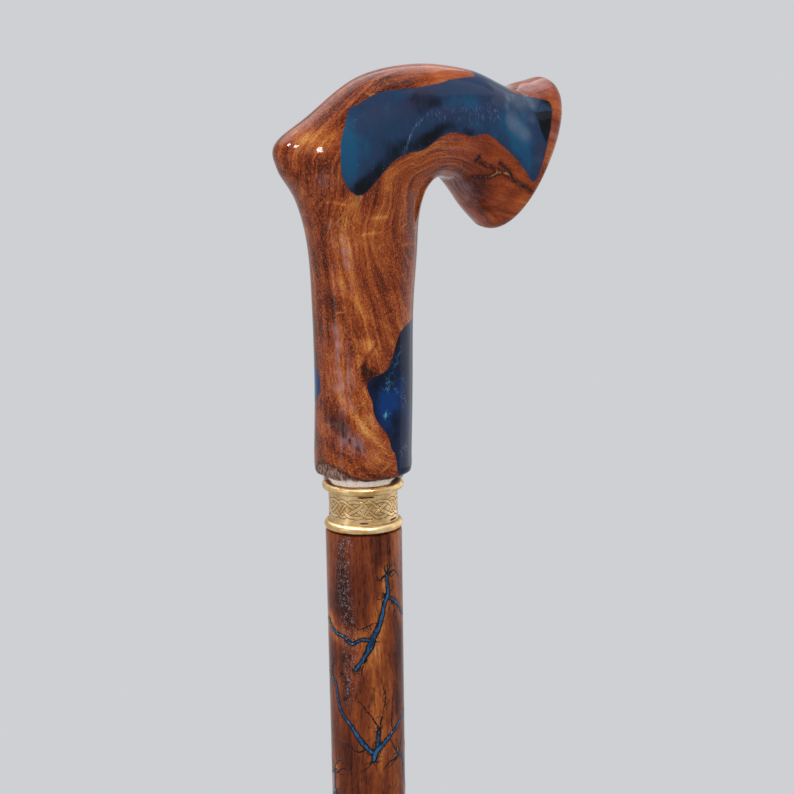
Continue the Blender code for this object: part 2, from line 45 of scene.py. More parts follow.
SHAFT_BASE, STRAIGHT_TOP, TAPER_TOP, SHOULDER, TENON_TOP = 11.8, 54.0, 762.3, 763.1, 779.7
SEAT_FLOOR, WELL_FLOOR, SEAT_RADIUS, WELL_RADIUS = 759.4, 755.7, 7.6, 5.3
FOOT_RADIUS, TOP_RADIUS, TENON_RADIUS, SHAFT_SIDES = 9.5, 12.8, 9.0, 96


def paint(red, green, blue):
    """The colour a shader takes for screen values of 0 to 255: ((c / 255 + 0.055) / 1.055) ** 2.4."""
    return tuple(((part / 255 + 0.055) / 1.055) ** 2.4 for part in (red, green, blue)) + (1.0,)


class Wire:
    """A socket in a material. Arithmetic on wires adds Math nodes, and add() makes any other node."""

    def __init__(self, tree, socket=None):
        self.tree, self.socket = tree, socket

    def add(self, kind, settings=(), sockets=(), output=0):
        """Adds a node of a kind, with its settings and its sockets' values or wires."""
        node = self.tree.nodes.new("ShaderNode" + kind)
        for name, value in dict(settings).items():
            setattr(node, name, value)
        for key, value in dict(sockets).items():
            if isinstance(value, Wire):
                self.tree.links.new(value.socket, node.inputs[key])
            else:
                node.inputs[key].default_value = value
        return Wire(self.tree, node.outputs[output])

    def maths(self, operation, first, second):
        return self.add("Math", {"operation": operation}, {0: first, 1: second})

    def __add__(self, other):
        return self.maths("ADD", self, other)

    def __sub__(self, other):
        return self.maths("SUBTRACT", self, other)

    def __rsub__(self, other):
        return self.maths("SUBTRACT", other, self)

    def __mul__(self, other):
        return self.maths("MULTIPLY", self, other)

    __radd__, __rmul__ = __add__, __mul__

    def gap(self, other):
        """How far this value is from another, as a positive number."""
        return self.maths("ABSOLUTE", self - other, 0)

    def rise(self, low, high):
        """0 below low, 1 above high, and a smooth step between them."""
        return self.add("MapRange", {"interpolation_type": "SMOOTHSTEP"},
                        {"Value": self, "From Min": low, "From Max": high})

    def fall(self, low, high):
        """1 below low, 0 above high, and a smooth step between them."""
        return 1 - self.rise(low, high)

    def noise(self, scale, detail=2, rough=0.5, warp=0, output=0):
        """Noise over this place, with its cycles a metre along each axis."""
        place = self.add("Mapping", {}, {"Vector": self, "Scale": scale})
        return self.add("TexNoise", {}, {"Vector": place, "Scale": 1, "Detail": detail,
                                         "Roughness": rough, "Distortion": warp}, output)

    def swirled(self, scale, reach):
        """This place moved about by coloured noise, by up to half the reach each way."""
        drift = self.noise(scale, output=1)
        drift = self.add("VectorMath", {"operation": "SUBTRACT"}, {0: drift, 1: (0.5, 0.5, 0.5)})
        drift = self.add("VectorMath", {"operation": "SCALE"}, {0: drift, "Scale": reach})
        return self.add("VectorMath", {"operation": "ADD"}, {0: self, 1: drift})

    def ramp(self, *stops):
        """A colour for this value, from stops of a place and screen values."""
        colour = self.add("ValToRGB", {}, {0: self})
        row = colour.socket.node.color_ramp.elements
        while len(row) < len(stops):
            row.new(0.5)
        for stop, (place, *screen) in zip(row, stops):
            stop.position, stop.color = place, paint(*screen)
        return colour

    def mix(self, low, high):
        """This value's mix of two colours, each a wire, three screen values or a shader's four."""
        low, high = (side if isinstance(side, Wire) or len(side) == 4 else paint(*side)
                     for side in (low, high))
        return self.add("Mix", {"data_type": "RGBA"}, {0: self, 6: low, 7: high}, 2)

    def bump(self, depth, strength=1):
        """A normal from this height, whose full range is the depth in metres."""
        return self.add("Bump", {}, {"Height": self, "Distance": depth, "Strength": strength})

    def place(self):
        """Object coordinates."""
        return self.add("TexCoord", output=3)

    def part(self, axis):
        """One axis of this vector: 0, 1 or 2."""
        return self.add("SeparateXYZ", {}, {0: self}, axis)

    def stored(self, *names, output=2):
        """The values stored on the mesh's points under some names."""
        return [self.add("Attribute", {"attribute_name": name}, output=output) for name in names]


def coated(colour, rough, level, normal=None):
    """The sockets of a look under clear gloss: colour, roughness, specular level and any normal."""
    sockets = {"Base Color": colour, "Roughness": rough, "IOR": 1.45, "Specular IOR Level": level}
    return sockets | ({"Normal": normal} if normal else {})


def finish(name, sockets):
    """A material from sockets(wire), a dictionary of its shader's sockets. Plain values are set on the
    shader itself."""
    look = bpy.data.materials.new(name)
    look.use_nodes = True
    shader = look.node_tree.nodes["Principled BSDF"]
    for key, value in sockets(Wire(look.node_tree)).items():
        if isinstance(value, Wire):
            look.node_tree.links.new(value.socket, shader.inputs[key])
        else:
            shader.inputs[key].default_value = value
    return look


def polar(points):
    """Each point's distance from the Z axis and its bearing round it in radians."""
    return np.hypot(points[..., 0], points[..., 1]), np.arctan2(points[..., 1], points[..., 0])


def spun(radius, angle, height):
    """Points from radii, bearings and heights: (r cos t, r sin t, h)."""
    return np.stack(np.broadcast_arrays(radius * np.cos(angle), radius * np.sin(angle), height), axis=-1)


def around(angle, centre, whole=math.tau):
    """The turn from a centre to each angle, at most half a whole turn either way."""
    return (angle - centre + whole / 2) % whole - whole / 2


def bell(gap, reach):
    """exp(-(gap / reach) ** 2): 1 at no gap, running out beyond the reach."""
    return np.exp(-(gap / reach) ** 2)


def turned(profile, sides, step):
    """Grid of a turned form: its profile of (radius, height), cut no longer than the step, spun round."""
    profile = np.asarray(profile, float)
    counts = np.ceil(np.maximum(np.hypot(*np.diff(profile, axis=0).T), 1e-6) / step).astype(int)
    place = np.concatenate([k + np.arange(n) / n for k, n in enumerate(counts)] + [[len(counts)]])
    radius, height = (np.interp(place, np.arange(len(profile)), part)[:, None] for part in profile.T)
    return spun(radius, np.linspace(0, math.tau, sides, endpoint=False), height)


def split(a, b, c, d):
    """Two triangles for each cell with the corners a, b, c, d."""
    return np.concatenate([np.stack([a, b, c], 1), np.stack([a, c, d], 1)])


def close_grid(grid, ring=False):
    """Points and triangles of a grid whose columns close round, and whose rows close too for a ring.
    Points that coincide, as at a pole, become one. Also returns which grid point each point is."""
    index = np.arange(grid.shape[0] * grid.shape[1]).reshape(grid.shape[:2])
    cells = [index, np.roll(index, -1, 1), np.roll(index, (-1, -1), (0, 1)), np.roll(index, -1, 0)]
    faces = split(*(cell.ravel() if ring else cell[:-1].ravel() for cell in cells))
    flat = grid.reshape(-1, 3)
    _, first, same = np.unique(np.round(flat * 1e4).astype(np.int64), axis=0,
                               return_index=True, return_inverse=True)
    faces = same.ravel()[faces]
    whole = (faces != np.roll(faces, 1, 1)).all(axis=1)
    return flat[first], faces[whole], first


def add_piece(name, points, faces, look, body, slot, replaced=(), values=(), normals=None):
    """A mesh piece from points in mm and triangles, with values stored on its points and, where they
    are given, a normal for each corner."""
    mesh = bpy.data.meshes.new(name)
    mesh.vertices.add(len(points))
    mesh.vertices.foreach_set("co", (points * 0.001).astype(np.float32).ravel())
    mesh.loops.add(faces.size)
    mesh.loops.foreach_set("vertex_index", faces.astype(np.int32).ravel())
    mesh.polygons.add(len(faces))
    mesh.polygons.foreach_set("loop_start", np.arange(0, faces.size, 3, dtype=np.int32))
    mesh.update(calc_edges=True)
    mesh.shade_smooth()
    mesh.set_sharp_from_angle(angle=math.radians(38))
    for key, value in dict(values).items():
        kind, field = ("FLOAT_VECTOR", "vector") if value.ndim == 2 else ("FLOAT", "value")
        mesh.attributes.new(key, kind, "POINT").data.foreach_set(field, value.astype(np.float32).ravel())
    if normals is not None:
        mesh.normals_split_custom_set(normals)
    mesh.materials.append(look)
    piece = bpy.data.objects.new(name, mesh)
    bpy.context.scene.collection.objects.link(piece)
    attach(piece, body)
    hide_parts(*replaced)


shaft_points, shaft_faces, _ = close_grid(turned([
    (0, SHAFT_BASE), (FOOT_RADIUS - 0.8, SHAFT_BASE), (FOOT_RADIUS - 0.25, SHAFT_BASE + 0.25),
    (FOOT_RADIUS, SHAFT_BASE + 0.8), (FOOT_RADIUS, STRAIGHT_TOP), (TOP_RADIUS, TAPER_TOP),
    (TOP_RADIUS - 0.2, SHOULDER - 0.2), (TOP_RADIUS - 0.8, SHOULDER), (TENON_RADIUS, SHOULDER),
    (TENON_RADIUS, TENON_TOP), (SEAT_RADIUS, TENON_TOP), (SEAT_RADIUS, SEAT_FLOOR),
    (WELL_RADIUS, SEAT_FLOOR), (WELL_RADIUS, WELL_FLOOR), (0, WELL_FLOOR)], SHAFT_SIDES, 1.1))


def shaft_radius(height):
    """The shaft's radius at a height: straight in the tip, then one taper to the shoulder."""
    return np.interp(height, [STRAIGHT_TOP, TAPER_TOP], [FOOT_RADIUS, TOP_RADIUS])


def shaft_wood(wire):
    """Red-brown wood with fine grain, paler near the veins and scorched at them. Its gloss has an orange
    peel, which grows into pebbles on one side, where small highlights are painted on."""
    place = wire.place().swirled((60, 60, 12), 0.006)
    figure = place.noise((90, 90, 15), 3, 0.55, 0.4)
    grain = place.noise((640, 640, 18), 4, 0.62)
    mottle = wire.place().noise((1500, 1500, 500))
    pores = place.noise((2300, 2300, 260), 2, 0.6)
    knots = place.noise((210, 210, 110), 3, 0.6).rise(0.64, 0.72)
    glow, burn, pebbles_and_glints = wire.stored("glow", "burn", "pebbles_and_glints")
    lit = glow * (place.noise((190, 190, 70), 2, 0.5, 0.6) * 1.3 - 0.2)
    tone = figure * 1.2 + grain * 0.5 + mottle * 0.3 - 0.44 + lit * 0.52 - pebbles_and_glints * 0.17
    colour = tone.ramp((0.18, 38, 13, 8), (0.36, 78, 32, 17), (0.5, 118, 52, 26), (0.64, 146, 71, 33),
                       (0.8, 184, 100, 46), (0.96, 216, 142, 80))
    dark = pores.rise(0.54, 0.66) * 0.6
    colour = (dark + knots * 0.6 - dark * knots * 0.6).mix(colour, (34, 13, 8))
    colour = burn.rise(0.2, 1).mix(colour, (18, 8, 6))
    lumps = wire.place().noise((1400, 1400, 1000), 1, 0.4)
    peel = wire.place().noise((520, 520, 330)) * 0.3 + lumps * (pebbles_and_glints * 2.6 + 0.05)
    # Painted highlights: light grey-lilac glints on the pebbly side, in place of reflections
    painted_glints = lumps.gap(0.5).fall(0.005, 0.035) * pebbles_and_glints.rise(0.2, 0.9)
    painted_glints = painted_glints * wire.place().noise((700, 700, 700), 1).rise(0.42, 0.52)
    colour = (painted_glints * 0.8).mix(colour, (184, 168, 172))
    return coated(colour, 0.09, 0.18, peel.bump(0.00015))


# Burnt veins
# High voltage burns branching figures into the shaft, with a star of fine cracks at each end. The char
# is brushed out of the wide branches, which are then filled with blue resin.

FRONT = -122.0
WIDE_ROWS, THIN_ROWS, TWIG_ROWS, STAR_TWIGS, SIDE_TWIGS, FINEST_TWIGS = 48, 26, 11, 9, 38, 80
# A branch is points of the arc round the shaft, the height over the shoulder and half the width, in mm.
STROKE = (
    ((8, -13.9, 0.55), (8.3, -20.2, 0.75), (6.6, -24.1, 0.8), (5.4, -29.4, 0.85), (3, -34.4, 1.1),
     (1.4, -38.1, 1.25), (-0.3, -41.5, 0.7), (-3.8, -46.1, 0.6)),
    ((7.9, -21.2, 0.5), (12.7, -24.7, 0.42), (16.2, -28.8, 0.36)),
    ((2.2, -36, 0.6), (-1.2, -35.6, 0.42), (-4.7, -37.2, 0.5), (-7.6, -35.1, 0.52), (-11.3, -34.1, 0.55),
     (-15.8, -30.8, 0.45)),
)
STROKE_CRACKS = (
    ((-4, -30.8), (-2.4, -31.8), (-0.2, -31.4), (1.8, -30.3), (4.2, -30)),
    ((1, -40), (-0.6, -43.7), (-1.4, -47.2), (-0.8, -49.2)),
    ((9.6, -22.5), (11.3, -27), (12.6, -32.7), (12.2, -37.7)),
)
FORK = (
    ((-14.5, -50.2, 0.4), (-12, -52, 0.5), (-11, -57.4, 0.6), (-9.2, -62, 0.6), (-5.6, -65.9, 0.7),
     (-2.5, -70.5, 0.8), (1, -74.7, 0.75), (2.5, -75.2, 0.6)),
    ((2.1, -77.9, 0.6), (2.8, -74.9, 1), (4.8, -73.1, 0.9), (8.9, -69.4, 0.6), (12.2, -66.8, 0.6),
     (16.6, -63.8, 0.5)),
    ((3.2, -74.4, 0.6), (3.5, -71.5, 0.6), (4, -67.7, 0.45)),
)
FORK_CRACKS = (
    ((4, -67.7), (5.5, -61.2), (6.4, -56.1), (5.7, -52.1)),
    ((4, -66.6), (1, -61.8), (-1.3, -59), (-3.3, -55.5)),
    ((8.9, -69.4), (9.1, -65.8), (9.7, -57.5), (11.3, -52.3)),
    ((-0.5, -73.6), (-1.6, -74.4), (-4.4, -74.6), (-6.6, -73.1), (-11, -72.2)),
    ((2.1, -77.9), (0.1, -80.1), (-1.1, -81.7)),
    ((-9.6, -48), (-8.8, -48.3), (-8.1, -48)),
)
FIGURES = {"stroke": (STROKE, STROKE_CRACKS), "fork": (FORK, FORK_CRACKS)}
# Where each figure lies: its shape, its bearing, its drop below the shoulder, and -1 if mirrored.
VEINS = (
    ("stroke", FRONT, 0, 1), ("fork", FRONT, 0, 1), ("fork", FRONT + 124, 27, 1),
    ("stroke", FRONT - 27, 70, -1), ("fork", 170, 110, 1), ("stroke", -60, 220, -1), ("fork", 70, 270, 1),
    ("stroke", -137, 380, 1), ("fork", -10, 450, -1),
)
# Patches, here and for the handle: a reach in mm, and the x, the z and the amount of each with that reach.
# These make the wood round the first two figures paler (above 0) or darker; x is the arc, z the height.
FRONT_PATCHES = {
    3: (2.5, -25, 0.3, -5, -52, 0.2, 12.5, -12, -0.3, -3, -80, -0.3), 3.5: (5.5, -42, 0.4),
    4: (9, -29, -0.5, 5, -57, 0.3, -9, -20, -0.15, -4, -14, -0.2, 11, -82, -0.3),
    5: (13.5, -42, -0.5, -2, -60, 0.4, 12, -60, -0.3, -6, -82, 0.15, -11.5, -45, -0.4),
    5.5: (-12.5, -22, -0.4), 6: (0, -8, 0.12, -12.5, -9, -0.45),
}


def patch_sum(flat, patches, stretch=1):
    """The patches' sum at points in a plane: each adds its amount times exp(-(gap / reach) ** 2). The
    patches' own x is first made longer by the stretch."""
    total = 0
    for reach, row in patches.items():
        x, z, amount = np.reshape(row, (-1, 3)).T
        gap_squared = (flat[:, :1] - x * stretch) ** 2 + (flat[:, 1:] - z) ** 2
        total = total + np.exp(-gap_squared / reach ** 2) @ amount
    return total


def smooth_rows(rows, count):
    """Rows along a cubic through the given rows, evenly spaced between the first and the last. Between
    two rows it is the Hermite cubic of their values and slopes, a slope being half the neighbours' step."""
    rows = np.array(rows, float)
    last = len(rows) - 1
    slopes = np.gradient(rows, axis=0)
    place = np.linspace(0, last, count)
    start = np.minimum(place.astype(int), last - 1)
    part = (place - start)[:, None]
    rise = part * part * (3 - 2 * part)
    ends = (1 - rise) * rows[start] + rise * rows[start + 1]
    return ends + part * (1 - part) ** 2 * slopes[start] + part * part * (part - 1) * slopes[start + 1]


def ragged(branches, count, reach, chance):
    """Branches, each drawn with the same count of points and a wander of the given reach in mm."""
    drawn = np.stack([smooth_rows(branch, count) for branch in branches])
    wander = chance.normal(0, reach, drawn.shape[:2] + (2,))
    wander[:, 1:-1] = (wander[:, :-2] + 2 * wander[:, 1:-1] + wander[:, 2:]) / 4
    drawn[..., :2] += wander
    return drawn


def twigs(starts, headings, lengths, width, chance):
    """Fine cracks, one a start: a walk in equal steps whose heading drifts by chance, and whose width
    runs out towards its end."""
    heading = headings[:, None] + np.cumsum(chance.normal(0, 0.34, (len(starts), TWIG_ROWS)), axis=1)
    step = (lengths / TWIG_ROWS)[:, None, None]
    path = np.cumsum(step * np.stack([np.cos(heading), np.sin(heading)], axis=2), axis=1)
    path = np.concatenate([np.zeros((len(starts), 1, 2)), path], axis=1) + starts[:, None]
    widths = width[:, None] * (1 - np.linspace(0, 1, TWIG_ROWS + 1)) ** 0.6 + 0.035
    return np.concatenate([path, widths[..., None]], axis=2)


def strands_mesh(strands, bearing, drop, side, lift):
    """Closed lens-like ribbons laid on the shaft, one a strand of (arc, height, half width) points.
    Across, six points a ring: the top is lift * (1 - u * u) over the wood and the bottom lies in it."""
    across = np.array([-1, -0.78, 0.78, 1, 0.6, -0.6])
    over = np.array([-0.03, 0.8 * lift, 0.8 * lift, -0.03, -0.3, -0.3])
    direction = np.gradient(strands[..., :2], axis=1)
    direction /= np.linalg.norm(direction, axis=2, keepdims=True) + 1e-9
    half = strands[..., 2:]
    arc = strands[..., 0:1] - direction[..., 1:2] * half * across
    height = SHOULDER - drop + strands[..., 1:2] + direction[..., 0:1] * half * across
    radius = shaft_radius(height)
    grids = spun(radius + over, math.radians(bearing) + side * arc / radius, height)
    index = np.arange(grids.size // 3).reshape(grids.shape[:3])
    after = np.roll(index, -1, 2)
    faces = [split(*(part.ravel() for part in (index[:, :-1], after[:, :-1], after[:, 1:], index[:, 1:])))]
    for ring, order in ((index[:, 0], 1), (index[:, -1], -1)):
        faces += [ring[:, [0, k + 1, k]][:, ::order] for k in range(1, 5)]
    return grids.reshape(-1, 3), np.concatenate(faces)[:, ::-side]


def char_look(wire):
    """Near-black grit."""
    grit = wire.place().noise((1800, 1800, 1400))
    return coated(grit.ramp((0.35, 7, 4, 4), (0.75, 26, 15, 11)), 0.25, 0.25)


def vein_resin_look(wire):
    """Deep blue resin with clouds and pale flecks."""
    cloud = wire.place().swirled((400, 400, 400), 0.002).noise((900, 900, 300), 3, 0.7)
    fleck = wire.place().noise((2300, 2300, 900), 1).rise(0.58, 0.7)
    colour = cloud.ramp((0.34, 5, 18, 46), (0.47, 10, 58, 108), (0.64, 34, 108, 158))
    return coated((fleck * 0.4).mix(colour, (96, 156, 196)), 0.1, 0.3)


char, vein_resin = finish("vein_char", char_look), finish("vein_resin", vein_resin_look)
shaft_reach, shaft_bearing = polar(shaft_points)
shaft_outside = shaft_reach > shaft_radius(shaft_points[:, 2]) - 0.3
burn = np.zeros(len(shaft_points))
glow = np.zeros(len(shaft_points))

for number, (figure, bearing, drop, side) in enumerate(VEINS, start=1):
    chance = np.random.default_rng(40 + number)
    veins, cracks = FIGURES[figure]
    wide = ragged(veins, WIDE_ROWS, 0.13, chance)
    thin = ragged([[point + (0,) for point in crack] for crack in cracks], THIN_ROWS, 0.28, chance)
    thin[..., 2] = 0.38 * (1 - 0.6 * np.linspace(0, 1, THIN_ROWS)) * chance.uniform(0.4, 1.3, thin.shape[:2])
    wide[..., 2] *= chance.uniform(0.82, 1.16, wide.shape[:2])

    # A star of cracks at each end, twigs along the branches, and the finest ones on both
    tips = wide[:, [0, -1]].reshape(-1, 3)
    outward = polar(wide[:, [0, -1]] - wide[:, [3, -4]])[1].ravel()
    star = np.repeat(np.arange(len(tips)), STAR_TWIGS)
    size = np.where(star == 0, 2.7, 0.9)
    bursts = twigs(tips[star, :2] + chance.normal(0, 0.3, (len(star), 2)),
                   outward[star] + chance.uniform(-1.9, 1.9, len(star)),
                   chance.uniform(1.2, 4, len(star)) * size,
                   chance.uniform(0.14, 0.26, len(star)) * size ** 0.7, chance)
    stems = np.concatenate([wide[:, 3:-3, :2].reshape(-1, 2), thin[:, 2:-2, :2].reshape(-1, 2)])
    runs = np.concatenate([np.diff(wide[:, 2:-3, :2], axis=1).reshape(-1, 2),
                           np.diff(thin[:, 1:-2, :2], axis=1).reshape(-1, 2)])
    picked = chance.choice(len(stems), SIDE_TWIGS, replace=False)
    away = chance.choice([-1, 1], SIDE_TWIGS) * chance.uniform(0.5, 1.2, SIDE_TWIGS)
    sides = twigs(stems[picked], polar(runs[picked])[1] + away, chance.gamma(2, 0.7, SIDE_TWIGS) + 0.5,
                  chance.uniform(0.06, 0.13, SIDE_TWIGS), chance)
    shoots = np.concatenate([bursts[:, 3:8].reshape(-1, 3), sides[:, 3:8].reshape(-1, 3)])
    picked = chance.choice(len(shoots), FINEST_TWIGS, replace=False)
    finest = twigs(shoots[picked, :2], chance.uniform(0, math.tau, FINEST_TWIGS),
                   chance.uniform(0.5, 1.9, FINEST_TWIGS), np.full(FINEST_TWIGS, 0.06), chance)

    scorched = wide.copy()
    scorched[..., 2] += chance.uniform(0.12, 0.42, wide.shape[:2])
    parts = [strands_mesh(strands, bearing, drop, side, lift) for strands, lift in (
        (scorched, 0.03), (thin, 0.02), (bursts, 0.02), (sides, 0.02), (finest, 0.02))]
    starts = np.cumsum([0] + [len(points) for points, _ in parts[:-1]])
    add_piece(f"vein_char_{number}", np.concatenate([points for points, _ in parts]),
              np.concatenate([faces + start for (_, faces), start in zip(parts, starts)]),
              char, "shaft_body", "vein_resin")
    fill = strands_mesh(wide * (1, 1, 0.74) - (0, 0, 0.05), bearing, drop, side, 0.07)
    add_piece(f"vein_fill_{number}", *fill, vein_resin, "shaft_body", "vein_resin", [f"vein_inlay_{number}"])

    # How near each point of the shaft is to the figure, for the scorched edge and the paler wood by it
    near = shaft_outside & (np.abs(shaft_points[:, 2] - (SHOULDER - drop - 46)) < 48)
    turn = around(shaft_bearing[near], math.radians(bearing))
    height = shaft_points[near, 2]
    flat = np.stack([side * turn * shaft_radius(height), height - SHOULDER + drop], 1)
    gap = np.sqrt(((flat[:, None] - wide[..., :2].reshape(-1, 2)) ** 2).sum(axis=2)).min(axis=1)
    glow[near] = np.maximum(glow[near], (1 if figure == "stroke" else 0.45) * bell(gap - 1.5, 2.6))
    burn[near] = np.maximum(burn[near], bell(gap, 1.05))

front_arc = around(shaft_bearing, math.radians(FRONT)) * TOP_RADIUS
front_flat = np.stack([front_arc, shaft_points[:, 2] - SHOULDER], 1)
glow += shaft_outside * patch_sum(front_flat, FRONT_PATCHES)
# The side of the shaft where the gloss dried into pebbles, and where highlights are painted on them
pebbles_and_glints = bell(np.degrees(shaft_bearing) - FRONT + 29 + 5 * np.sin(shaft_points[:, 2] / 9), 15)
pebbles_and_glints *= shaft_outside * np.clip((shaft_points[:, 2] - 695) / 20, 0.25, 1)
add_piece("shaft_wood", shaft_points, shaft_faces, finish("shaft_wood", shaft_wood), "shaft_body",
          "shaft_wood", ["shaft"], {"glow": glow, "burn": burn, "pebbles_and_glints": pebbles_and_glints})


# Threaded insert
# A brass bush with three knurled bands, glued into the tenon; the handle's stud screws into it. Its CAD
# node stays, with a brass finish whose thread shows inside.


def raw_brass(wire):
    """Dull brass with turning marks, tarnish and the fine lines of a thread."""
    place = wire.place()
    scratch = place.noise((900, 900, 4200))
    tarnish = place.noise((260, 260, 260), 3, 0.6)
    thread = place.add("TexWave", {"bands_direction": "Z"}, {"Vector": place, "Scale": 212})
    return {"Base Color": tarnish.ramp((0.3, 140, 104, 54), (0.7, 198, 160, 92)), "Metallic": 1,
            "Roughness": scratch * 0.2 + 0.28, "Normal": thread.bump(0.0002, 0.5)}


def dress(node, look):
    """Gives a CAD node its finish."""
    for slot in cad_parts[node].material_slots:
        slot.material = look


dress("threaded_insert", finish("insert_brass", raw_brass))


# Collar
# Cast brass with two beads and a waist engraved with a four-strand plait, browned in its lines and
# polished on its beads. It sits on the tenon, between the shoulder and the handle.

COLLAR_BASE, COLLAR_BORE, COLLAR_WAIST, COLLAR_HEIGHT, COLLAR_SIDES = 763.4, 9.3, 11.7, 16.3, 640
BEAD, FOOT_BEAD, TOP_BEAD, BEAD_ROWS = 1.5, (11.6, 1.5), (12.1, 14.8), 22
WAIST_FOOT, WAIST_TOP, WAIST_HALF, WAIST_ROWS = 3.05, 13.25, 5.1, 96
PLAIT_MIDDLE, PLAIT_SWING, PLAIT_REPEATS, STRAND = 8.3, 2.75, 4, 0.58
# Short slots left by the casting, at the edges of the waist: bearing, height and length
CASTING_SLOTS = ((-121, 12.7, 3.2), (-108, 12.7, 1.6), (-121, 3.8, 2.6), (-62, 3.8, 3.6), (40, 12.7, 3),
                 (150, 3.8, 3))


def bead(centre, start, end):
    """Points round a bead: its centre plus its radius times (cos a, sin a)."""
    angle = np.radians(np.linspace(start, end, BEAD_ROWS))
    return np.stack([centre[0] + BEAD * np.cos(angle), centre[1] + BEAD * np.sin(angle)], 1)


waist_height = np.linspace(WAIST_FOOT, WAIST_TOP, WAIST_ROWS)
waist_radius = COLLAR_WAIST - 0.25 * (1 - ((waist_height - PLAIT_MIDDLE) / WAIST_HALF) ** 2)
collar_profile = np.concatenate([
    [(COLLAR_BORE, 0), (10.4, 0)], bead(FOOT_BEAD, -90, 68), np.stack([waist_radius, waist_height], 1),
    bead(TOP_BEAD, -68, 90), [(10.6, COLLAR_HEIGHT), (COLLAR_BORE, COLLAR_HEIGHT)]])
turn, height = np.meshgrid(np.linspace(0, math.tau, COLLAR_SIDES, endpoint=False), collar_profile[:, 1])

# The plait: strand k of four runs along z = swing * sin(repeats * t + 90 k), and at each crossing the
# strand whose cos(3 phase) is greater lies on top. A flat strand has a fine cut line at each edge, and
# ticks fill the eyes between the strands.
phase = PLAIT_REPEATS * turn + np.arange(4)[:, None, None] * math.tau / 4 + 0.22 * np.sin(7 * turn + 1)
slope = PLAIT_SWING * PLAIT_REPEATS / COLLAR_WAIST * np.cos(phase)
off = (height - PLAIT_MIDDLE - PLAIT_SWING * np.sin(phase)) / np.sqrt(1 + slope ** 2)
rank = np.where(np.abs(off) < STRAND + 0.14, np.cos(3 * phase), -9)
top = rank.argmax(axis=0)[None]
off = np.abs(np.take_along_axis(off, top, 0)[0])
line = bell(off - STRAND, 0.12) * (0.75 + 0.25 * np.sin(23 * turn + 9 * height))
tick_turn = (turn * PLAIT_REPEATS * 4 / math.tau) % 1 - 0.5
ticks = bell(tick_turn * 3.7 - (height - PLAIT_MIDDLE) * 0.6, 0.13)
ticks *= bell(np.abs(height - PLAIT_MIDDLE) - 2.3, 0.5)
relief = np.where(rank.max(axis=0) > -9, -0.16 * line, -0.03 - 0.12 * ticks)
for slot_bearing, slot_height, length in CASTING_SLOTS:
    arc = around(turn, math.radians(slot_bearing)) * COLLAR_WAIST
    relief -= 0.15 * np.exp(-(arc / (length / 2)) ** 4 - ((height - slot_height) / 0.24) ** 2)
in_waist = np.zeros(len(collar_profile))
in_waist[2 + BEAD_ROWS:2 + BEAD_ROWS + WAIST_ROWS] = np.clip(
    (WAIST_HALF - np.abs(waist_height - (WAIST_FOOT + WAIST_TOP) / 2)) / 0.3, 0, 1)
relief *= in_waist[:, None]
collar_grid = spun(collar_profile[:, :1] + relief, turn, height + COLLAR_BASE)
collar_points, collar_faces, kept = close_grid(collar_grid, ring=True)
fillet = bell(np.minimum(np.abs(height - WAIST_FOOT), np.abs(height - WAIST_TOP)), 0.3)
hollow = np.maximum(np.clip(-relief / 0.12, 0, 1), fillet * 0.55)


def collar_look(wire):
    """Pale polished brass, browned and rough where it is hollow."""
    place = wire.place()
    [hollow] = wire.stored("hollow")
    tarnish = place.noise((210, 210, 300), 4, 0.65)
    grime = place.noise((800, 800, 800), 3, 0.6)
    brass = tarnish.ramp((0.3, 186, 146, 88), (0.5, 222, 184, 128), (0.72, 248, 220, 172))
    dirt = (hollow * 1.25 - 0.1 + (grime - 0.5) * 0.45).rise(0.05, 0.95)
    return {"Base Color": dirt.mix(brass, (74, 42, 18)), "Metallic": 1 - dirt * 0.4,
            "Roughness": tarnish * 0.2 + 0.22 + dirt * 0.3, "Normal": grime.bump(0.00003)}


add_piece("engraved_collar", collar_points, collar_faces, finish("collar_brass", collar_look), "collar_body",
          "collar_brass", ["brass_collar"], {"hollow": hollow.reshape(-1)[kept]})


# Handle
# One block of burl and poured resin, sawn, carved and sanded flush as a single skin, then coated in
# clear gloss down to a ragged edge over the collar, below which the wood is raw. The skin is lofted
# from the CAD model's stations, then cut where wood and resin meet.

HANDLE_BASE = 780.0
FOOT_RING, NECK_RING, NOSE_BULGE, SKIN_COLUMNS, BODY_ROWS = 12.4, 14.0, 6.0, 166, 280
# Heights over the foot: the coat's lower edge and its rise over the bare patch, the chalky band's top, the
# open gaps' top and the raw band's top with its radius at the foot
COAT_EDGE, BARE_RISE, CHALK_TOP, GAP_TOP, BAND_TOP, BAND_RADIUS = 2.6, 5.2, 2.5, 2.6, 2.3, 13.15
# Crest x and z, throat x and z, half width, in mm from the foot of the handle
STATIONS = (
    (-15.5, 9, 16, 9, 16), (-15, 30.5, 17, 30, 15.5), (-15.5, 56, 18, 56, 15), (-17, 79, 20, 75, 15),
    (-21.5, 95, 21.5, 86.5, 14.5), (-28.5, 106.5, 24, 93.5, 14.5), (-29, 115, 26.5, 97, 15),
    (-16.5, 123, 29, 98.5, 15), (2.5, 134, 32, 98, 15.5), (23.5, 136.5, 34.5, 97, 16),
    (43.5, 133, 37, 94, 16.5), (58.5, 126, 40, 90, 17.5), (67, 126.5, 43.5, 85, 18.5),
    (73.5, 127.5, 48.5, 79.5, 19),
)


def sections(crest, throat, half_width):
    """Rings of a superellipse of power 2.2 between each crest and throat, in the plane of the two and Y."""
    along = np.sign(np.cos(turns)) * np.abs(np.cos(turns)) ** (2 / 2.2)
    across = np.sign(np.sin(turns)) * np.abs(np.sin(turns)) ** (2 / 2.2)
    middle, half = (crest + throat) / 2, (crest - throat) / 2
    xz = middle[:, None] + half[:, None] * along[:, None]
    return np.stack([xz[..., 0], half_width[:, None] * across, xz[..., 1]], axis=2)


def level_rings(radius, height):
    """Rows of the rings that lie level round the shaft's axis."""
    return np.stack([-radius, height, radius, height, radius], 1)


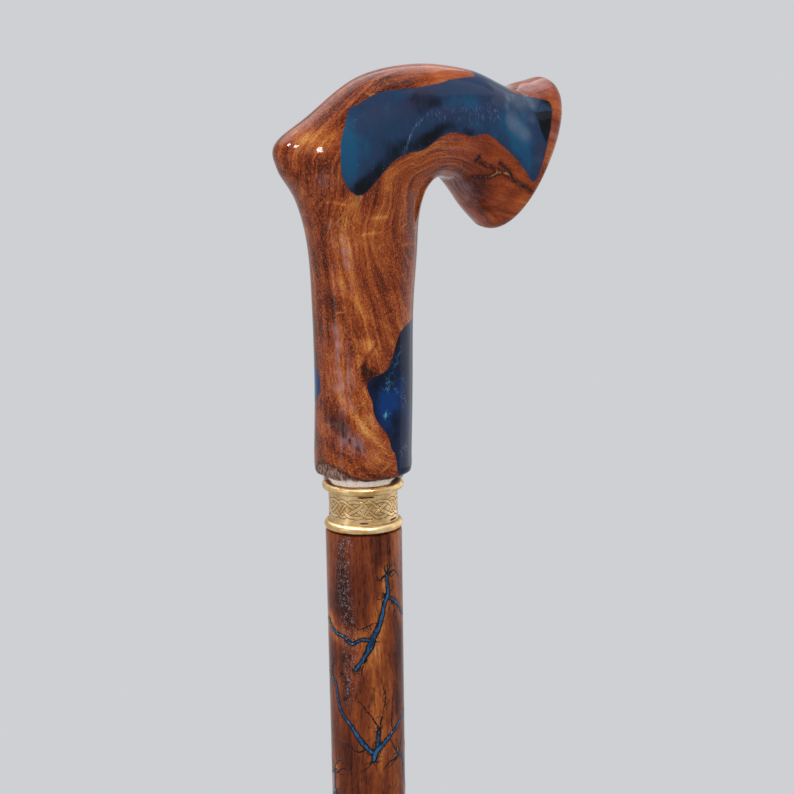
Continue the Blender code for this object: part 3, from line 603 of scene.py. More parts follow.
turns = np.linspace(0, math.tau, SKIN_COLUMNS, endpoint=False)
body_rows = smooth_rows(STATIONS, BODY_ROWS)
foot = level_rings(np.linspace(0, FOOT_RING, 8), np.zeros(8))
chamfer = level_rings(np.linspace(FOOT_RING, NECK_RING, 6)[1:-1], np.linspace(0, 1, 6)[1:-1])
quarter = np.radians(np.linspace(0, 90, 16))
share = np.sin(quarter)[:, None]
rounding = (1 - share) * np.array([[-NECK_RING, 0, NECK_RING, 0, NECK_RING]]) + share * body_rows[:1]
rounding[:, 1] = rounding[:, 3] = 1 + 5 * (1 - np.cos(quarter))
share = np.linspace(0, 1, 9)[1:-1, None]
straight = (1 - share) * rounding[-1:] + share * body_rows[:1]
# The nose's end: the last section shrinks along a dome
dome = np.radians(np.linspace(0, 90, 34))[1:, None]
crest, throat = body_rows[-1, 0:2], body_rows[-1, 2:4]
nose_middle, nose_half = (crest + throat) / 2, (crest - throat) / 2
nose_out = np.array([nose_half[1], -nose_half[0]]) / np.linalg.norm(nose_half)
shrink = np.cos(dome) ** (2 / 3)
shrink[-1] = 0
dome_middle = nose_middle + nose_out * NOSE_BULGE * np.sin(dome) ** (2 / 3)
nose = np.hstack([dome_middle + nose_half * shrink, dome_middle - nose_half * shrink,
                  body_rows[-1, 4] * shrink])
rows = np.concatenate([foot, chamfer, rounding, straight, body_rows, nose])
crests, throats = rows[:, 0:2], rows[:, 2:4]
skin_grid = sections(crests, throats, rows[:, 4])

# Coordinates that follow the wood's grain. Up the neck the grain bends out of the foot, along curves of
# (x + 20) * (z + 3) = constant; over the beam it runs from heel to nose, the way of the sections' middles.
way = np.concatenate([[0], np.cumsum(np.linalg.norm(np.diff((crests + throats) / 2, axis=0), axis=1))])
over_crest = np.outer(np.linalg.norm(crests - throats, axis=1) / 2, np.cos(turns))
neck_across = np.sqrt(2 * np.log1p(np.exp((skin_grid[..., 0] + 20) / 2)) * (skin_grid[..., 2] + 3))
neck_along = skin_grid[..., 2] - 0.6 * skin_grid[..., 0]
in_neck = np.clip((104 - skin_grid[..., 2] - 0.2 * skin_grid[..., 0]) / 22, 0, 1)
in_neck = in_neck * in_neck * (3 - 2 * in_neck)
grain_grid = np.stack([in_neck * neck_across + (1 - in_neck) * (1.3 * (20 - over_crest) + 8),
                       skin_grid[..., 1], in_neck * neck_along + (1 - in_neck) * way[:, None]], axis=2)
skin, skin_faces, kept = close_grid(skin_grid[:, ::-1])
grain = grain_grid[:, ::-1].reshape(-1, 3)[kept]


def ripple(points, size, seed):
    """Smooth noise between about -1 and 1: the mean of ten sine waves in random directions, with wave
    lengths near the size."""
    chance = np.random.default_rng(seed)
    waves = chance.normal(0, 1, (points.shape[1], 10))
    waves *= math.tau / (size * chance.uniform(0.7, 1.6, 10)) / np.linalg.norm(waves, axis=0)
    return np.sin(points @ waves + chance.uniform(0, math.tau, 10)).mean(axis=1) * 2.2


def fade(over, width):
    """1 far below zero, 0 far above it and half at it: 1 / (1 + exp(over / width))."""
    return 1 / (1 + np.exp(np.minimum(over / width, 700)))


def point_normals(points, faces):
    """The normal at each point: the sum of the area vectors of its triangles, made unit length."""
    a, b, c = points[faces.T]
    area = np.repeat(np.cross(b - a, c - a), 3, axis=0)
    total = np.stack([np.bincount(faces.ravel(), part, len(points)) for part in area.T], 1)
    return total / (np.linalg.norm(total, axis=1, keepdims=True) + 1e-12)


# The ragged lower edge of the coat, higher over a patch of bare wood on the left of the near side, and
# two gaps where the foot doesn't close on the collar, which are painted near-black as their shade
x, y, z = skin.T
bearing = np.degrees(polar(skin)[1])
patch_rise = fade(around(bearing, -142, 360), 9) * fade(-around(bearing, 162, 360), 5)
coat_edge = COAT_EDGE + 0.4 * ripple(skin, 2.6, 5) + (BARE_RISE + 0.8 * ripple(skin, 1.4, 15)) * patch_rise
bare = fade(z - coat_edge, 0.24) * (z <= 12)
chalk_and_gap_shade = fade(z - CHALK_TOP - 0.5 * ripple(skin, 2, 6), 0.14)
wedge = bell(around(bearing, -58, 360), 17) + 0.7 * bell(around(bearing, -186, 360), 13)
# Painted shade: in the open gaps the chalk value turns negative, which colours them near-black
painted_gap_shade = wedge.clip(0, 1) * fade(z - GAP_TOP * wedge, 0.2) * np.clip(polar(skin)[0] - 11, 0, 1)
chalk_and_gap_shade = chalk_and_gap_shade * (1 - painted_gap_shade) - painted_gap_shade
dent = bare * (0.08 + 0.12 * (0.5 + 0.5 * ripple(skin, 1.5, 7))) * (z > 0.01)
skin = skin - point_normals(skin, skin_faces) * dent[:, None]
# Below the coat the foot stands up as a low band, instead of the coat's bevel and rounding
x, y, z = skin.T
reach = polar(skin)[0]
band_radius = BAND_RADIUS + 0.35 * z + 0.22 * ripple(skin, 2.6, 9)
in_band = (reach > 12) * fade(z - BAND_TOP - 0.3 * ripple(skin, 2, 6), 0.12)
skin[:, :2] *= (1 + in_band * (band_radius / np.maximum(reach, 1) - 1))[:, None]
low = np.clip(1 - z / 3, 0, 1) * wedge.clip(0, 1)
skin[:, :2] *= (1 - 0.1 * low)[:, None]
z += 0.9 * low * np.clip((polar(skin)[0] - 9) / 1.5, 0, 1)
out = point_normals(skin, skin_faces)


def round_off(outline):
    """An outline with its corners cut, twice: every side keeps the points at its first and last quarter."""
    for _ in range(2):
        after = np.roll(outline, -1, 0)
        outline = np.stack([0.75 * outline + 0.25 * after, 0.25 * outline + 0.75 * after], 1).reshape(-1, 2)
    return outline


def outline_level(points, outline):
    """Distance in the plane from each point to an outline, negative inside it. A point is inside where a
    level ray from it crosses the outline an odd number of times."""
    best, crossings = np.full(len(points), 1e9), np.zeros(len(points), int)
    for start, run in zip(outline, np.roll(outline, -1, 0) - outline):
        share = np.clip(((points - start) @ run) / (run @ run), 0, 1)
        best = np.minimum(best, np.linalg.norm(points - start - share[:, None] * run, axis=1))
        above = (points[:, 1] > start[1]) != (points[:, 1] > start[1] + run[1])
        cross_x = start[0] + (points[:, 1] - start[1]) * run[0] / (run[1] if run[1] else 1e-9)
        crossings += above & (points[:, 0] < cross_x)
    return np.where(crossings % 2 == 1, -best, best)


def near_lines(points, lines):
    """The gap from each point in the plane to the nearest of some lines, less the line's half width
    there. A line is a cubic through its (x, z, half width) points."""
    best = np.full(len(points), 9.0)
    for line in lines:
        drawn = smooth_rows(line, 60)
        gap = np.linalg.norm(points[:, None] - drawn[None, :, :2], axis=2) - drawn[None, :, 2]
        best = np.minimum(best, gap.min(axis=1))
    return best


def cut(table, faces, level):
    """Cuts triangles where the level at their points changes sign, and returns the longer table, the
    faces with a negative level and the others. A new point lies on an edge, at the share where the
    straight run between its ends' levels passes zero, and takes the same share of their other values."""
    inside = level[faces] < 0
    count = inside.sum(axis=1)
    mixed = (count == 1) | (count == 2)
    one_in = count[mixed] == 1
    lone = np.where(one_in, inside[mixed].argmax(1), (~inside[mixed]).argmax(1))
    a, b, c = np.take_along_axis(faces[mixed], (lone[:, None] + np.arange(3)) % 3, 1).T
    edges = np.sort(np.concatenate([np.stack([a, b], 1), np.stack([a, c], 1)]), axis=1)
    ends, place = np.unique(edges, axis=0, return_inverse=True)
    first, second = level[ends].T
    share = (first / (first - second))[:, None]
    new = table[ends[:, 0]] * (1 - share) + table[ends[:, 1]] * share
    ab, ac = (place.ravel() + len(table)).reshape(2, -1)
    tips, rest, two = np.stack([a, ab, ac], 1), split(ab, b, c, ac), np.tile(one_in, 2)
    return (np.concatenate([table, new]),
            np.concatenate([faces[count == 3], tips[one_in], rest[~two]]),
            np.concatenate([faces[count == 0], tips[~one_in], rest[two]]))


# The columns of the skin's table: its points, then these
NORMAL, GRAIN, TINT = slice(3, 6), slice(6, 9), slice(9, 12)
SINGLES = ("bare", "chalk_and_gap_shade", "tone", "silk_and_sheen", "edge", "gilt")
LEVELS = range(18, 22)


def add_skin_piece(name, table, faces, depth, look, slot, replaced):
    """A closed piece of the handle's skin: a patch, the same patch moved in by the depth as its back, less
    at the foot, and a wall between them along the edges that only one face uses. The patch keeps the whole
    skin's normals, so that the gloss runs on across the joints."""
    used, faces = np.unique(faces, return_inverse=True)
    faces = faces.reshape(-1, 3)
    table = table[used]
    count = len(table)
    out = table[:, NORMAL] / np.linalg.norm(table[:, NORMAL], axis=1, keepdims=True)
    edges = np.concatenate([faces[:, [0, 1]], faces[:, [1, 2]], faces[:, [2, 0]]])
    border = ~np.isin(edges[:, 0] * count + edges[:, 1], edges[:, 1] * count + edges[:, 0])
    a, b = edges[border].T
    wall = split(b, a, a + count, b + count)
    depth = depth * np.clip(table[:, 2:3] / 4, 0.2, 1)
    points = np.concatenate([table[:, :3], table[:, :3] - depth * out]) + (0, 0, HANDLE_BASE)
    normals = np.concatenate([out[faces].reshape(-1, 3), np.zeros(((len(faces) + len(wall)) * 3, 3))])
    twice = np.concatenate([table, table])
    values = {"grain": twice[:, GRAIN] * 0.001, "tint": twice[:, TINT]}
    values |= {key: twice[:, TINT.stop + column] for column, key in enumerate(SINGLES)}
    add_piece(name, points, np.concatenate([faces, faces[:, ::-1] + count, wall]), look, "handle_body",
              slot, replaced, values, normals)


# Outline of the saddle seen from the side, narrowing from the near side (y -30) to the far side
SADDLE = (
    (-8.3, 126), (-4.1, 127.4), (0.3, 129.6), (3.7, 130.6), (11.4, 130.8), (22.2, 131.1), (30.6, 132.3),
    (39.8, 132), (42.3, 131.8), (43.5, 136), (45, 141.5), (56, 137.5), (55.8, 125.3), (60, 124.1),
    (64.1, 122.7), (67.9, 121.6), (66.8, 118.6), (65.3, 115.9), (62.6, 110), (60.1, 102.7), (57.8, 96.8),
    (56.3, 96.3), (53.4, 101.3), (49, 106.3), (44.9, 110.3), (41, 113.7), (38.2, 113.9), (34.2, 113.3),
    (30.4, 115), (26.6, 115.7), (22.9, 114.6), (19.6, 112.4), (16.3, 110.4), (11.2, 110.6), (7.4, 109.4),
    (4.6, 108), (-0.3, 103.8), (-4.3, 99.4), (-7.9, 97.8), (-11.4, 100.1), (-14, 104.7), (-14.6, 110.5),
    (-13.4, 116.6), (-10.4, 121.5),
)
# Outline of the neck's resin: bearing round the shaft's axis in degrees, and height
NECK_POUR = (
    (-26, 55), (-42, 54), (-63, 52.2), (-71, 48.9), (-76, 45.4), (-81, 41.6), (-86, 39.8), (-92, 38.6),
    (-103, 38), (-111, 36.8), (-115, 34.5), (-111, 31.6), (-107, 28.7), (-107, 25.4), (-101, 22.2),
    (-94, 19.6), (-87, 17), (-85, 13.2), (-78, 10.5), (-76, 6), (-73, 3), (-72, -1), (12, -1), (14, 2),
    (16, 9), (23, 15), (28, 21), (33, 27), (39, 34.5), (30, 38.5), (20, 42), (2, 49),
)
# The rear pocket: an ellipsoid's bearing, its distance from the shaft's axis, its height and half sizes
REAR_BEARING, REAR_RADIUS, REAR_HEIGHT, REAR_HALVES = 142.0, 15.0, 33.5, (5.0, 9.5, 7.0)
# The saddle narrows about its middle. The neck is unrolled at one radius, as if it were a cylinder.
SADDLE_MIDDLE, NECK_RESIN_TOP, UNROLL_RADIUS = np.array([26.75, 118.5]), 62.0, 15.5
ARC_PER_DEGREE = math.radians(1) * UNROLL_RADIUS
# The lobe's crack: x, z and half width, first where gold dust fills it, then where it is dark
GOLD_CRACKS = (
    ((37.4, 99.3, 0.12), (39, 99, 0.18), (40.7, 99.1, 0.2), (42.3, 99, 0.22), (43.4, 99.6, 0.28),
     (44.6, 100.3, 0.36), (46.1, 100.3, 0.32), (47.2, 99.6, 0.36), (48.5, 98.8, 0.3), (49.5, 98, 0.22)),
    ((38.5, 104.3, 0.12), (39.9, 103.6, 0.2), (41.2, 102.9, 0.16), (42.6, 102.3, 0.22),
     (43.4, 101.4, 0.2), (44.8, 101.2, 0.24), (45.4, 100.4, 0.22)),
)
DARK_CRACKS = (
    ((49.5, 98, 0.3), (51.3, 96.7, 0.42), (52.5, 95.7, 0.34), (54, 94.8, 0.46), (55.5, 93.8, 0.32),
     (57.2, 92.7, 0.2)),
    ((45.1, 103.5, 0.2), (46.2, 102.5, 0.3), (47.3, 101.4, 0.24), (48.4, 100.2, 0.4), (49.4, 98.9, 0.3),
     (50.4, 97.6, 0.2)),
    ((36.9, 104.9, 0.2), (37.4, 105.6, 0.5), (38.1, 106.6, 0.2)),
)
# Patches on the near side where the figure turns golden (above 0) or dark (below 0). The dark ones on
# the knob's top, near x 61 to 67 and z 125, are painted dark reflections
WOOD_AND_REFLECTION_PATCHES = {
    1.3: (-6.6, 35.6, -0.34), 1.4: (-2.4, 39, -0.16),
    1.5: (-7.2, 43.4, 0.34, -6.6, 39.6, -0.34, -4.5, 38.8, -0.3), 1.6: (-4.6, 36.8, -0.3),
    1.8: (61, 125.6, -0.24),
    2: (66.5, 124.5, -0.12, 69.5, 118, 0.11, -8, 26, -0.1, -5, 15, -0.1, 69, 121.5, 0.1),
    2.2: (-6.5, 49, 0.34, -14.6, 26.7, -0.12, -9, 13, -0.1, 60.8, 125.4, -0.2),
    2.4: (-15.8, 75.9, -0.1, -5, 46.4, 0.4, -14, 22.4, -0.17, -13.2, 19.2, -0.17),
    2.5: (-13.5, 117.5, 0.17, -19, 96.5, 0.08, -1, 73, -0.05, -1, 42.6, 0.08, -15, 15, -0.08,
        -9.5, 127.6, -0.1, 35.8, 110.2, -0.03, 50.5, 92.5, -0.13, 43, 96.5, 0.07, 52.5, 98.8, 0.1,
        -14, 11, -0.12, -2, 6, -0.16, -6, 24, 0.1),
    2.6: (-16.5, 81, -0.14, 2.5, 68.2, -0.11, -12, 15.6, -0.15, 65.5, 125.2, -0.12,
        40.8, 96.5, -0.16),
    3: (-29.5, 114, -0.11, -28.5, 109, -0.08, -24.5, 101.5, 0.04, -1, 90, 0.1, -12.4, 95.4, 0.13,
        0.9, 75.5, 0.07, 9, 80.3, 0.08, -18, 85.8, -0.13, -15.6, 63, -0.13, -15.1, 57, -0.1,
        -9, 68, -0.05, 0.9, 94.2, -0.07, 2.6, 87.4, -0.06, 6.5, 66, -0.09, -2.6, 61.6, -0.06,
        -10.6, 54, 0.04, -8, 21, 0.06, -3.5, 16, 0.04, 8.5, 133.3, -0.13, 21.5, 133.3, -0.13,
        -14, 124.3, -0.1, 33, 133.5, 0.08, 24.5, 112, 0.04, 31.5, 111.5, 0.07, 33.5, 103.5, -0.1,
        40.5, 102.5, -0.1, 46.5, 95.5, 0.08, 53, 89.5, 0.1, 39, 96, -0.12, 49, 103, 0.06, 51.5, 93, -0.06,
        -13, 22, -0.16, -10.5, 15.5, -0.18, -10, 127, -0.12, -3, 130, -0.14, 3, 131.6, -0.14,
        8, 132.8, -0.12, 14, 133.2, -0.1, -12, 20, -0.12, 25.5, 102.5, -0.26, 36.5, 94.6, -0.2,
        40.5, 89.5, -0.2, 47.5, 91.5, 0.14, 54, 90, 0.14, 44, 106.5, 0.12),
    3.5: (-22.4, 116.5, 0.21, -18.5, 117.2, 0.2, -24, 106.5, -0.06, -17.5, 108, -0.06,
        -3.6, 81.6, 0.08, -1.6, 48.1, 0.14, -4.5, 9.4, 0.18, 14.5, 132, -0.17, 26.5, 134.5, 0.11,
        46, 87, -0.03, 37.5, 94.5, -0.12, 33, 110.5, 0.14),
    4: (-6.9, 89.4, 0.13, -8.8, 82.6, 0.14, 12, 64.5, -0.06, -4, 130.8, -0.13, 3, 103, 0.1,
        42, 93, -0.16, -20.5, 114.6, 0.16, -15, 116, 0.12, 26.5, 111, 0.14, 33, 99, -0.32),
    5: (46, 87, -0.05, -14.5, 70, 0.17, -14, 40, 0.12, -15.5, 84, 0.16, -15, 56, 0.13,
        8, 132.5, -0.1), 6: (-8, 62, 0.06), 7: (-6, 78, 0.08), 8: (46, 91, -0.08),
}
# Lines of the figure: an amount, a reach, and points of x, z and half width
FIGURE_LINES = (
    (-0.42, 0.5, ((-3, 47.9, 0.05), (-5, 45.8, 0.12), (-6.7, 42.9, 0.2), (-7.3, 40.3, 0.3),
     (-7.1, 36.6, 0.3))),
    (-0.22, 0.7, ((-14.9, 29.8, 0.1), (-14.7, 26, 0.2), (-14.2, 22.3, 0.3), (-13.2, 18.6, 0.3),
     (-11.5, 15.5, 0.3), (-8.5, 12.8, 0.1))),
    (-0.26, 0.6, ((-15.3, 15.9, 0.1), (-14.8, 13.4, 0.2), (-12.9, 11.3, 0.2), (-9.7, 9.5, 0.1))),
    (0.24, 0.6, ((-13.7, 33.8, 0.1), (-12.7, 30, 0.2), (-11.1, 26.2, 0.3), (-8.7, 22.2, 0.3),
     (-5.3, 18, 0.2), (-1.3, 14.2, 0.1))),
    (0.2, 0.5, ((-14.7, 21, 0.1), (-13.8, 17.8, 0.2), (-11.5, 14.5, 0.2), (-7.4, 11.5, 0.1))),
    (-0.07, 0.6, ((-17.4, 83.1, 0.1), (-16.2, 75.7, 0.2), (-15.4, 66.4, 0.3), (-14.9, 58, 0.2),
     (-14.6, 50, 0.1))),
    (0.16, 0.7, ((-12.9, 70.3, 0.1), (-10.5, 65, 0.2), (-7.2, 60.2, 0.3), (-2.8, 55.9, 0.3),
     (3.2, 52.5, 0.1))),
    (-0.16, 0.6, ((-14.1, 63.4, 0.1), (-11.6, 56.3, 0.2), (-8.6, 51.3, 0.2))),
    (0.3, 0.45, ((-18.1, 96.6, 0.05), (-15.2, 96.3, 0.15), (-12.4, 95.4, 0.05))),
    (0.3, 0.45, ((-3.4, 90.1, 0.05), (-0.4, 90.4, 0.15), (2.7, 90, 0.05))),
    (0.28, 0.45, ((-6.6, 85.1, 0.05), (-3.4, 85.4, 0.15), (-0.2, 85.1, 0.05))),
    (0.26, 0.45, ((8.1, 80.1, 0.05), (11.6, 80, 0.12), (15.2, 79.4, 0.05))),
)
# Where a cool pink sheen of reflected light is painted on the figure
PAINTED_SHEEN_PATCHES = {
    0.9: (-10.9, 25.6, 1.5), 1.1: (-11.2, 27.2, 1.6), 1.2: (-12.1, 30.1, 1.2), 1.4: (-12.9, 33.3, 0.9),
    1.6: (-15.1, 88.8, 0.5, -13.3, 83.7, 0.7, -11.9, 80, 0.8, -11.6, 35.2, 0.9),
    1.8: (-11.6, 75.3, 0.7, -14.2, 53.3, 0.7, -13.3, 48.4, 0.8, -12.6, 44, 0.7, -12, 39, 0.8),
    2: (-13.8, 21, 0.5, -6, 97.5, 0.4), 2.2: (64, 126, 0.5),
    2.4: (-8.8, 14, 0.6, 36.5, 94.6, 1, 40, 90.5, 0.8), 2.5: (-11, 68, 0.35),
    2.6: (-11.4, 16.8, 0.8, -3, 24, 0.5, -5, 12.5, 0.4, 27, 102.3, 0.9, 68.5, 127, 0.5),
    2.8: (32.5, 98.5, 1.1), 3: (-19, 104, 0.35), 4: (34, 108, 0.2, 66.5, 112, 0.3, 66.5, 104, 0.3),
    5: (25, 110, 0.25),
}
# Where the saddle turns azure, black or violet
AZURE_PATCHES = {
    0.9: (51.2, 123.8, 0.8, 49.8, 121.4, 0.9, 49, 118.8, 0.6), 2.2: (39, 115.4, 0.35),
    2.4: (59.5, 109, 0.3), 2.6: (-9.5, 122, 0.5, -11.2, 103.5, 0.6, 37.5, 122.8, 0.4, 35.5, 117.5, 0.4),
    2.8: (29.2, 126.2, 0.5, 50.6, 109.5, 0.5, 55.4, 102.5, 0.3),
    3: (35, 125.6, 0.6, -11.3, 117.5, 0.9, 27, 123.8, 0.35, 33, 124, 0.4, 55.5, 118.5, 0.6),
    3.2: (-12.6, 112.5, 1, -12.2, 107.5, 0.9, 45, 114.5, 0.5, 48, 118, 0.6, 53.2, 113.5, 0.8,
        54.6, 108, 0.55), 3.4: (50.5, 114, 0.75), 3.5: (3.2, 123.8, 0.3), 4: (-8, 111, 0.4),
    5: (-5, 117, 0.28),
}
BLACK_PATCHES = {
    1.5: (65.2, 121.6, 0.6), 1.7: (67.2, 120.8, 1), 1.8: (33.8, 114.6, 0.7),
    2: (12, 119.5, 0.2, 27, 119, 0.3, 8, 114.5, 0.3, 59, 101.5, 0.35, 24, 125.4, 0.25),
    2.2: (26, 117, 0.5, 31, 116.6, 0.45, 22.8, 125.4, 0.45),
    2.4: (21.2, 115.2, 0.6, 57.2, 98, 0.5, 41.5, 126, 0.3),
    2.6: (17.4, 113.2, 0.7, 19, 125, 0.5, 15.5, 123, 0.5, 18.4, 114.6, 0.45, 23, 117.2, 0.45,
        42.5, 117, 0.2), 2.8: (13.2, 112.6, 0.65, 14, 127.4, 0.5, 19.5, 127.9, 0.45),
    3: (1.2, 106.8, 0.7, 5, 109.6, 0.55, 9, 112, 0.6, 9, 126.7, 0.2, 2, 115, 0.3),
    3.2: (-8.3, 100.3, 0.7, -5.4, 101.6, 0.8, -2.2, 104.3, 0.75, 4.9, 111.9, 0.4), 3.5: (-3, 109, 0.35),
    4: (2, 113, 0.28),
}
VIOLET_PATCHES = {
    2.4: (60, 108.5, 0.6, 59, 103, 0.6),
    3: (13, 117, 0.4, 23, 129.6, 0.5, 13.9, 127.7, 0.4, 59.5, 106, 0.4), 3.2: (18, 129, 0.5),
    3.5: (24, 121.4, 0.5, 31, 121.2, 0.4, 38, 120.2, 0.4, 45, 122, 0.45),
    4: (9.5, 124.5, 0.5, 2, 126.5, 0.45, 47, 127.5, 0.5, -2, 124, 0.3), 4.5: (16.5, 127.2, 0.9),
}
# Where the saddle has fine silky strokes, and a pale haze of painted reflection
SILK_PATCHES = {
    1.4: (14.6, 120.4, 0.5), 1.5: (30.1, 117.2, 0.8), 1.8: (18.3, 121.8, 0.7, 23.4, 121.6, 0.6),
    2.2: (35, 117, 0.5, 46.5, 114, 0.3), 2.6: (20, 122.3, 0.5, 43, 124, 0.5),
    2.8: (25, 122, 0.7, 45.5, 119.5, 0.7), 3: (30.5, 121.8, 0.8, 36.5, 120.8, 0.8, 41.5, 120.2, 0.8),
}
PAINTED_HAZE_PATCHES = {
    1: (49.8, 122.1, 0.6), 1.2: (51.6, 124, 0.9), 1.4: (60.5, 120.2, 0.5, 58.6, 116.5, 0.5),
    2: (59.5, 103.5, 0.3), 2.4: (60.4, 122.8, 0.7), 2.6: (49.1, 118.1, 0.6, 54.7, 112.1, 0.8),
    3: (51.5, 115.6, 0.9, 55.7, 122.7, 0.6), 4: (-9, 119, 0.15, -2, 122, 0.2, 5, 124, 0.2),
}
# The same for the resin round the neck, with a bearing in degrees for x; then where fine bright threads
# run, and the dark bubbles' bearing, height and radius
NECK_AZURE = {
    2.4: (-88, 21, 0.4), 3: (-79, 27, 0.45, -95, 32, 0.4), 3.2: (-86, 30, 0.7), 3.4: (-92, 26.5, 0.95),
    3.5: (-66, 33, 0.5, -60, 26, 0.4), 5: (-40, 18, 0.4, 10, 12, 0.5), 6: (0, 30, 0.6),
    8: (170, 33.5, 1.3),
}
NECK_BLACK = {
    1.4: (-77, 25, 0.6), 1.7: (-78, 21, 0.8), 1.8: (-76, 17, 0.8), 2: (-105, 33.8, 0.6, -83, 13.5, 0.5),
    2.5: (-100, 36.5, 0.5), 3: (-74, 6, 0.4), 3.5: (-74, 47, 0.6, -66, 51, 0.7), 5: (-20, 40, 0.5),
}
NECK_VIOLET = {4: (-62, 46, 0.5), 6: (-60, 12, 0.6)}
NECK_THREADS = {
    0.9: (-94, 24, 1.2), 1.2: (-90, 24.8, 1.6), 1.5: (-74, 41.5, 0.8),
    1.6: (-69, 45.5, 0.8, -83, 36.7, 0.9, -90, 33.4, 0.8),
    2: (-72, 32.8, 0.7, -67, 11, 0.6, -58, 13.4, 0.6), 2.2: (-60, 34.4, 0.7, -62, 28.4, 0.7),
    3: (-30, 40, 0.5, 5, 12, 0.5), 4: (-10, 24, 0.6),
}
NECK_BUBBLES = (
    (-98, 28.2, 0.42), (-111, 33.8, 0.4), (-103, 31, 0.22),
)
# The black wedge by the nose
WEDGE = (
    (60, 118.9), (68.5, 118.9), (67.6, 116.6), (66.6, 115), (64.4, 111.6), (62.2, 108.6), (60.8, 112.3),
    (60.6, 115.6),
)


flat_skin, unrolled = skin[:, [0, 2]], np.stack([np.radians(bearing) * UNROLL_RADIUS, z], 1)
near_side, at_neck = fade(y + 2, 1.5), z < NECK_RESIN_TOP
side_view = SADDLE_MIDDLE + (flat_skin - SADDLE_MIDDLE) / ((0.95 - 0.1 * y / 30) / 0.997)[:, None]
saddle_level = outline_level(side_view, round_off(np.array(SADDLE))) + 0.1 * ripple(skin, 3.5, 11)
neck_outline = round_off(np.array(NECK_POUR) * (ARC_PER_DEGREE, 1))
neck_level = outline_level(unrolled, neck_outline) + 0.1 * ripple(skin, 3, 12)
neck_level[z > NECK_RESIN_TOP] = 9
rear = math.radians(REAR_BEARING)
rear_local = np.stack([x * math.cos(rear) + y * math.sin(rear) - REAR_RADIUS,
                       y * math.cos(rear) - x * math.sin(rear), z - REAR_HEIGHT], 1)
rear_level = (np.linalg.norm(rear_local / REAR_HALVES, axis=1) - 1) * 7 + 0.15 * ripple(skin, 4, 13)
gold_gap, dark_gap = near_lines(flat_skin, GOLD_CRACKS), near_lines(flat_skin, DARK_CRACKS)
crack_level = np.minimum(gold_gap, dark_gap) + 0.06 * ripple(skin, 1.2, 14)
crack_level = np.where(y < -5, crack_level, 9)


def near_sum(patches):
    """The patches' sum on the near side."""
    return patch_sum(flat_skin, patches) * near_side


def neck_sum(patches):
    """The patches' sum round the neck, where their x is a bearing."""
    return patch_sum(unrolled, patches, ARC_PER_DEGREE)


tint = np.stack([np.where(at_neck, neck_sum(round_neck), near_sum(patches)) for patches, round_neck in (
    (AZURE_PATCHES, NECK_AZURE), (BLACK_PATCHES, NECK_BLACK), (VIOLET_PATCHES, NECK_VIOLET))], 1)
tint = np.clip(tint + np.where(at_neck, 0, 1 - near_side)[:, None] * (0.32, 0.16, 0.2), 0, 1)
black_wedge = np.clip(0.4 - outline_level(flat_skin, np.array(WEDGE)) / 0.5, 0, 1) * near_side
bubbles = near_lines(unrolled, [[(arc - 0.05, z, w), (arc, z, w), (arc + 0.05, z, w)]
                                for arc, z, w in np.array(NECK_BUBBLES) * (ARC_PER_DEGREE, 1, 1)])
bubbles = np.clip(1.3 - (bubbles + 0.2) / 0.35, 0, 1) * at_neck
tint[:, 1] = np.maximum(tint[:, 1], np.maximum(black_wedge, bubbles))
silk_and_sheen = np.where(saddle_level < 0.5, near_sum(PAINTED_HAZE_PATCHES) - near_sum(SILK_PATCHES),
                neck_sum(NECK_THREADS) * (neck_level < 0.5))
resin_level = np.minimum(np.minimum(saddle_level, neck_level), rear_level)
# On the wood these values are a painted pink sheen of reflected light
silk_and_sheen = np.where(resin_level < 0.4, silk_and_sheen, near_sum(PAINTED_SHEEN_PATCHES))
edge = np.minimum(np.abs(np.stack([saddle_level, neck_level, rear_level])).min(axis=0), 3)
# Where the figure is calm, with few dots: the lobe, the underside of the beam and the strip by the nose,
# but not the nose's end grain
calm = fade(31 - x - 0.55 * (z - 112), 3)
calm *= 1 - 0.7 * np.clip((flat_skin - nose_middle) @ nose_out / 3, 0, 1)
gilt = np.where(crack_level < 0.3, fade(gold_gap - dark_gap, 0.12), calm)
tone = patch_sum(flat_skin, WOOD_AND_REFLECTION_PATCHES) - 0.4 * bell(crack_level, 0.6)
for amount, reach, line in FIGURE_LINES:
    tone += amount * bell(np.maximum(near_lines(flat_skin, [line]), 0), reach)
tone *= near_side

table = np.column_stack([skin, out, grain, tint, bare, chalk_and_gap_shade, tone, silk_and_sheen, edge, gilt,
                         saddle_level, neck_level, rear_level, crack_level])
wood_faces, poured = skin_faces, []
for column in LEVELS:
    table, inside_faces, wood_faces = cut(table, wood_faces, table[:, column])
    poured.append(inside_faces)


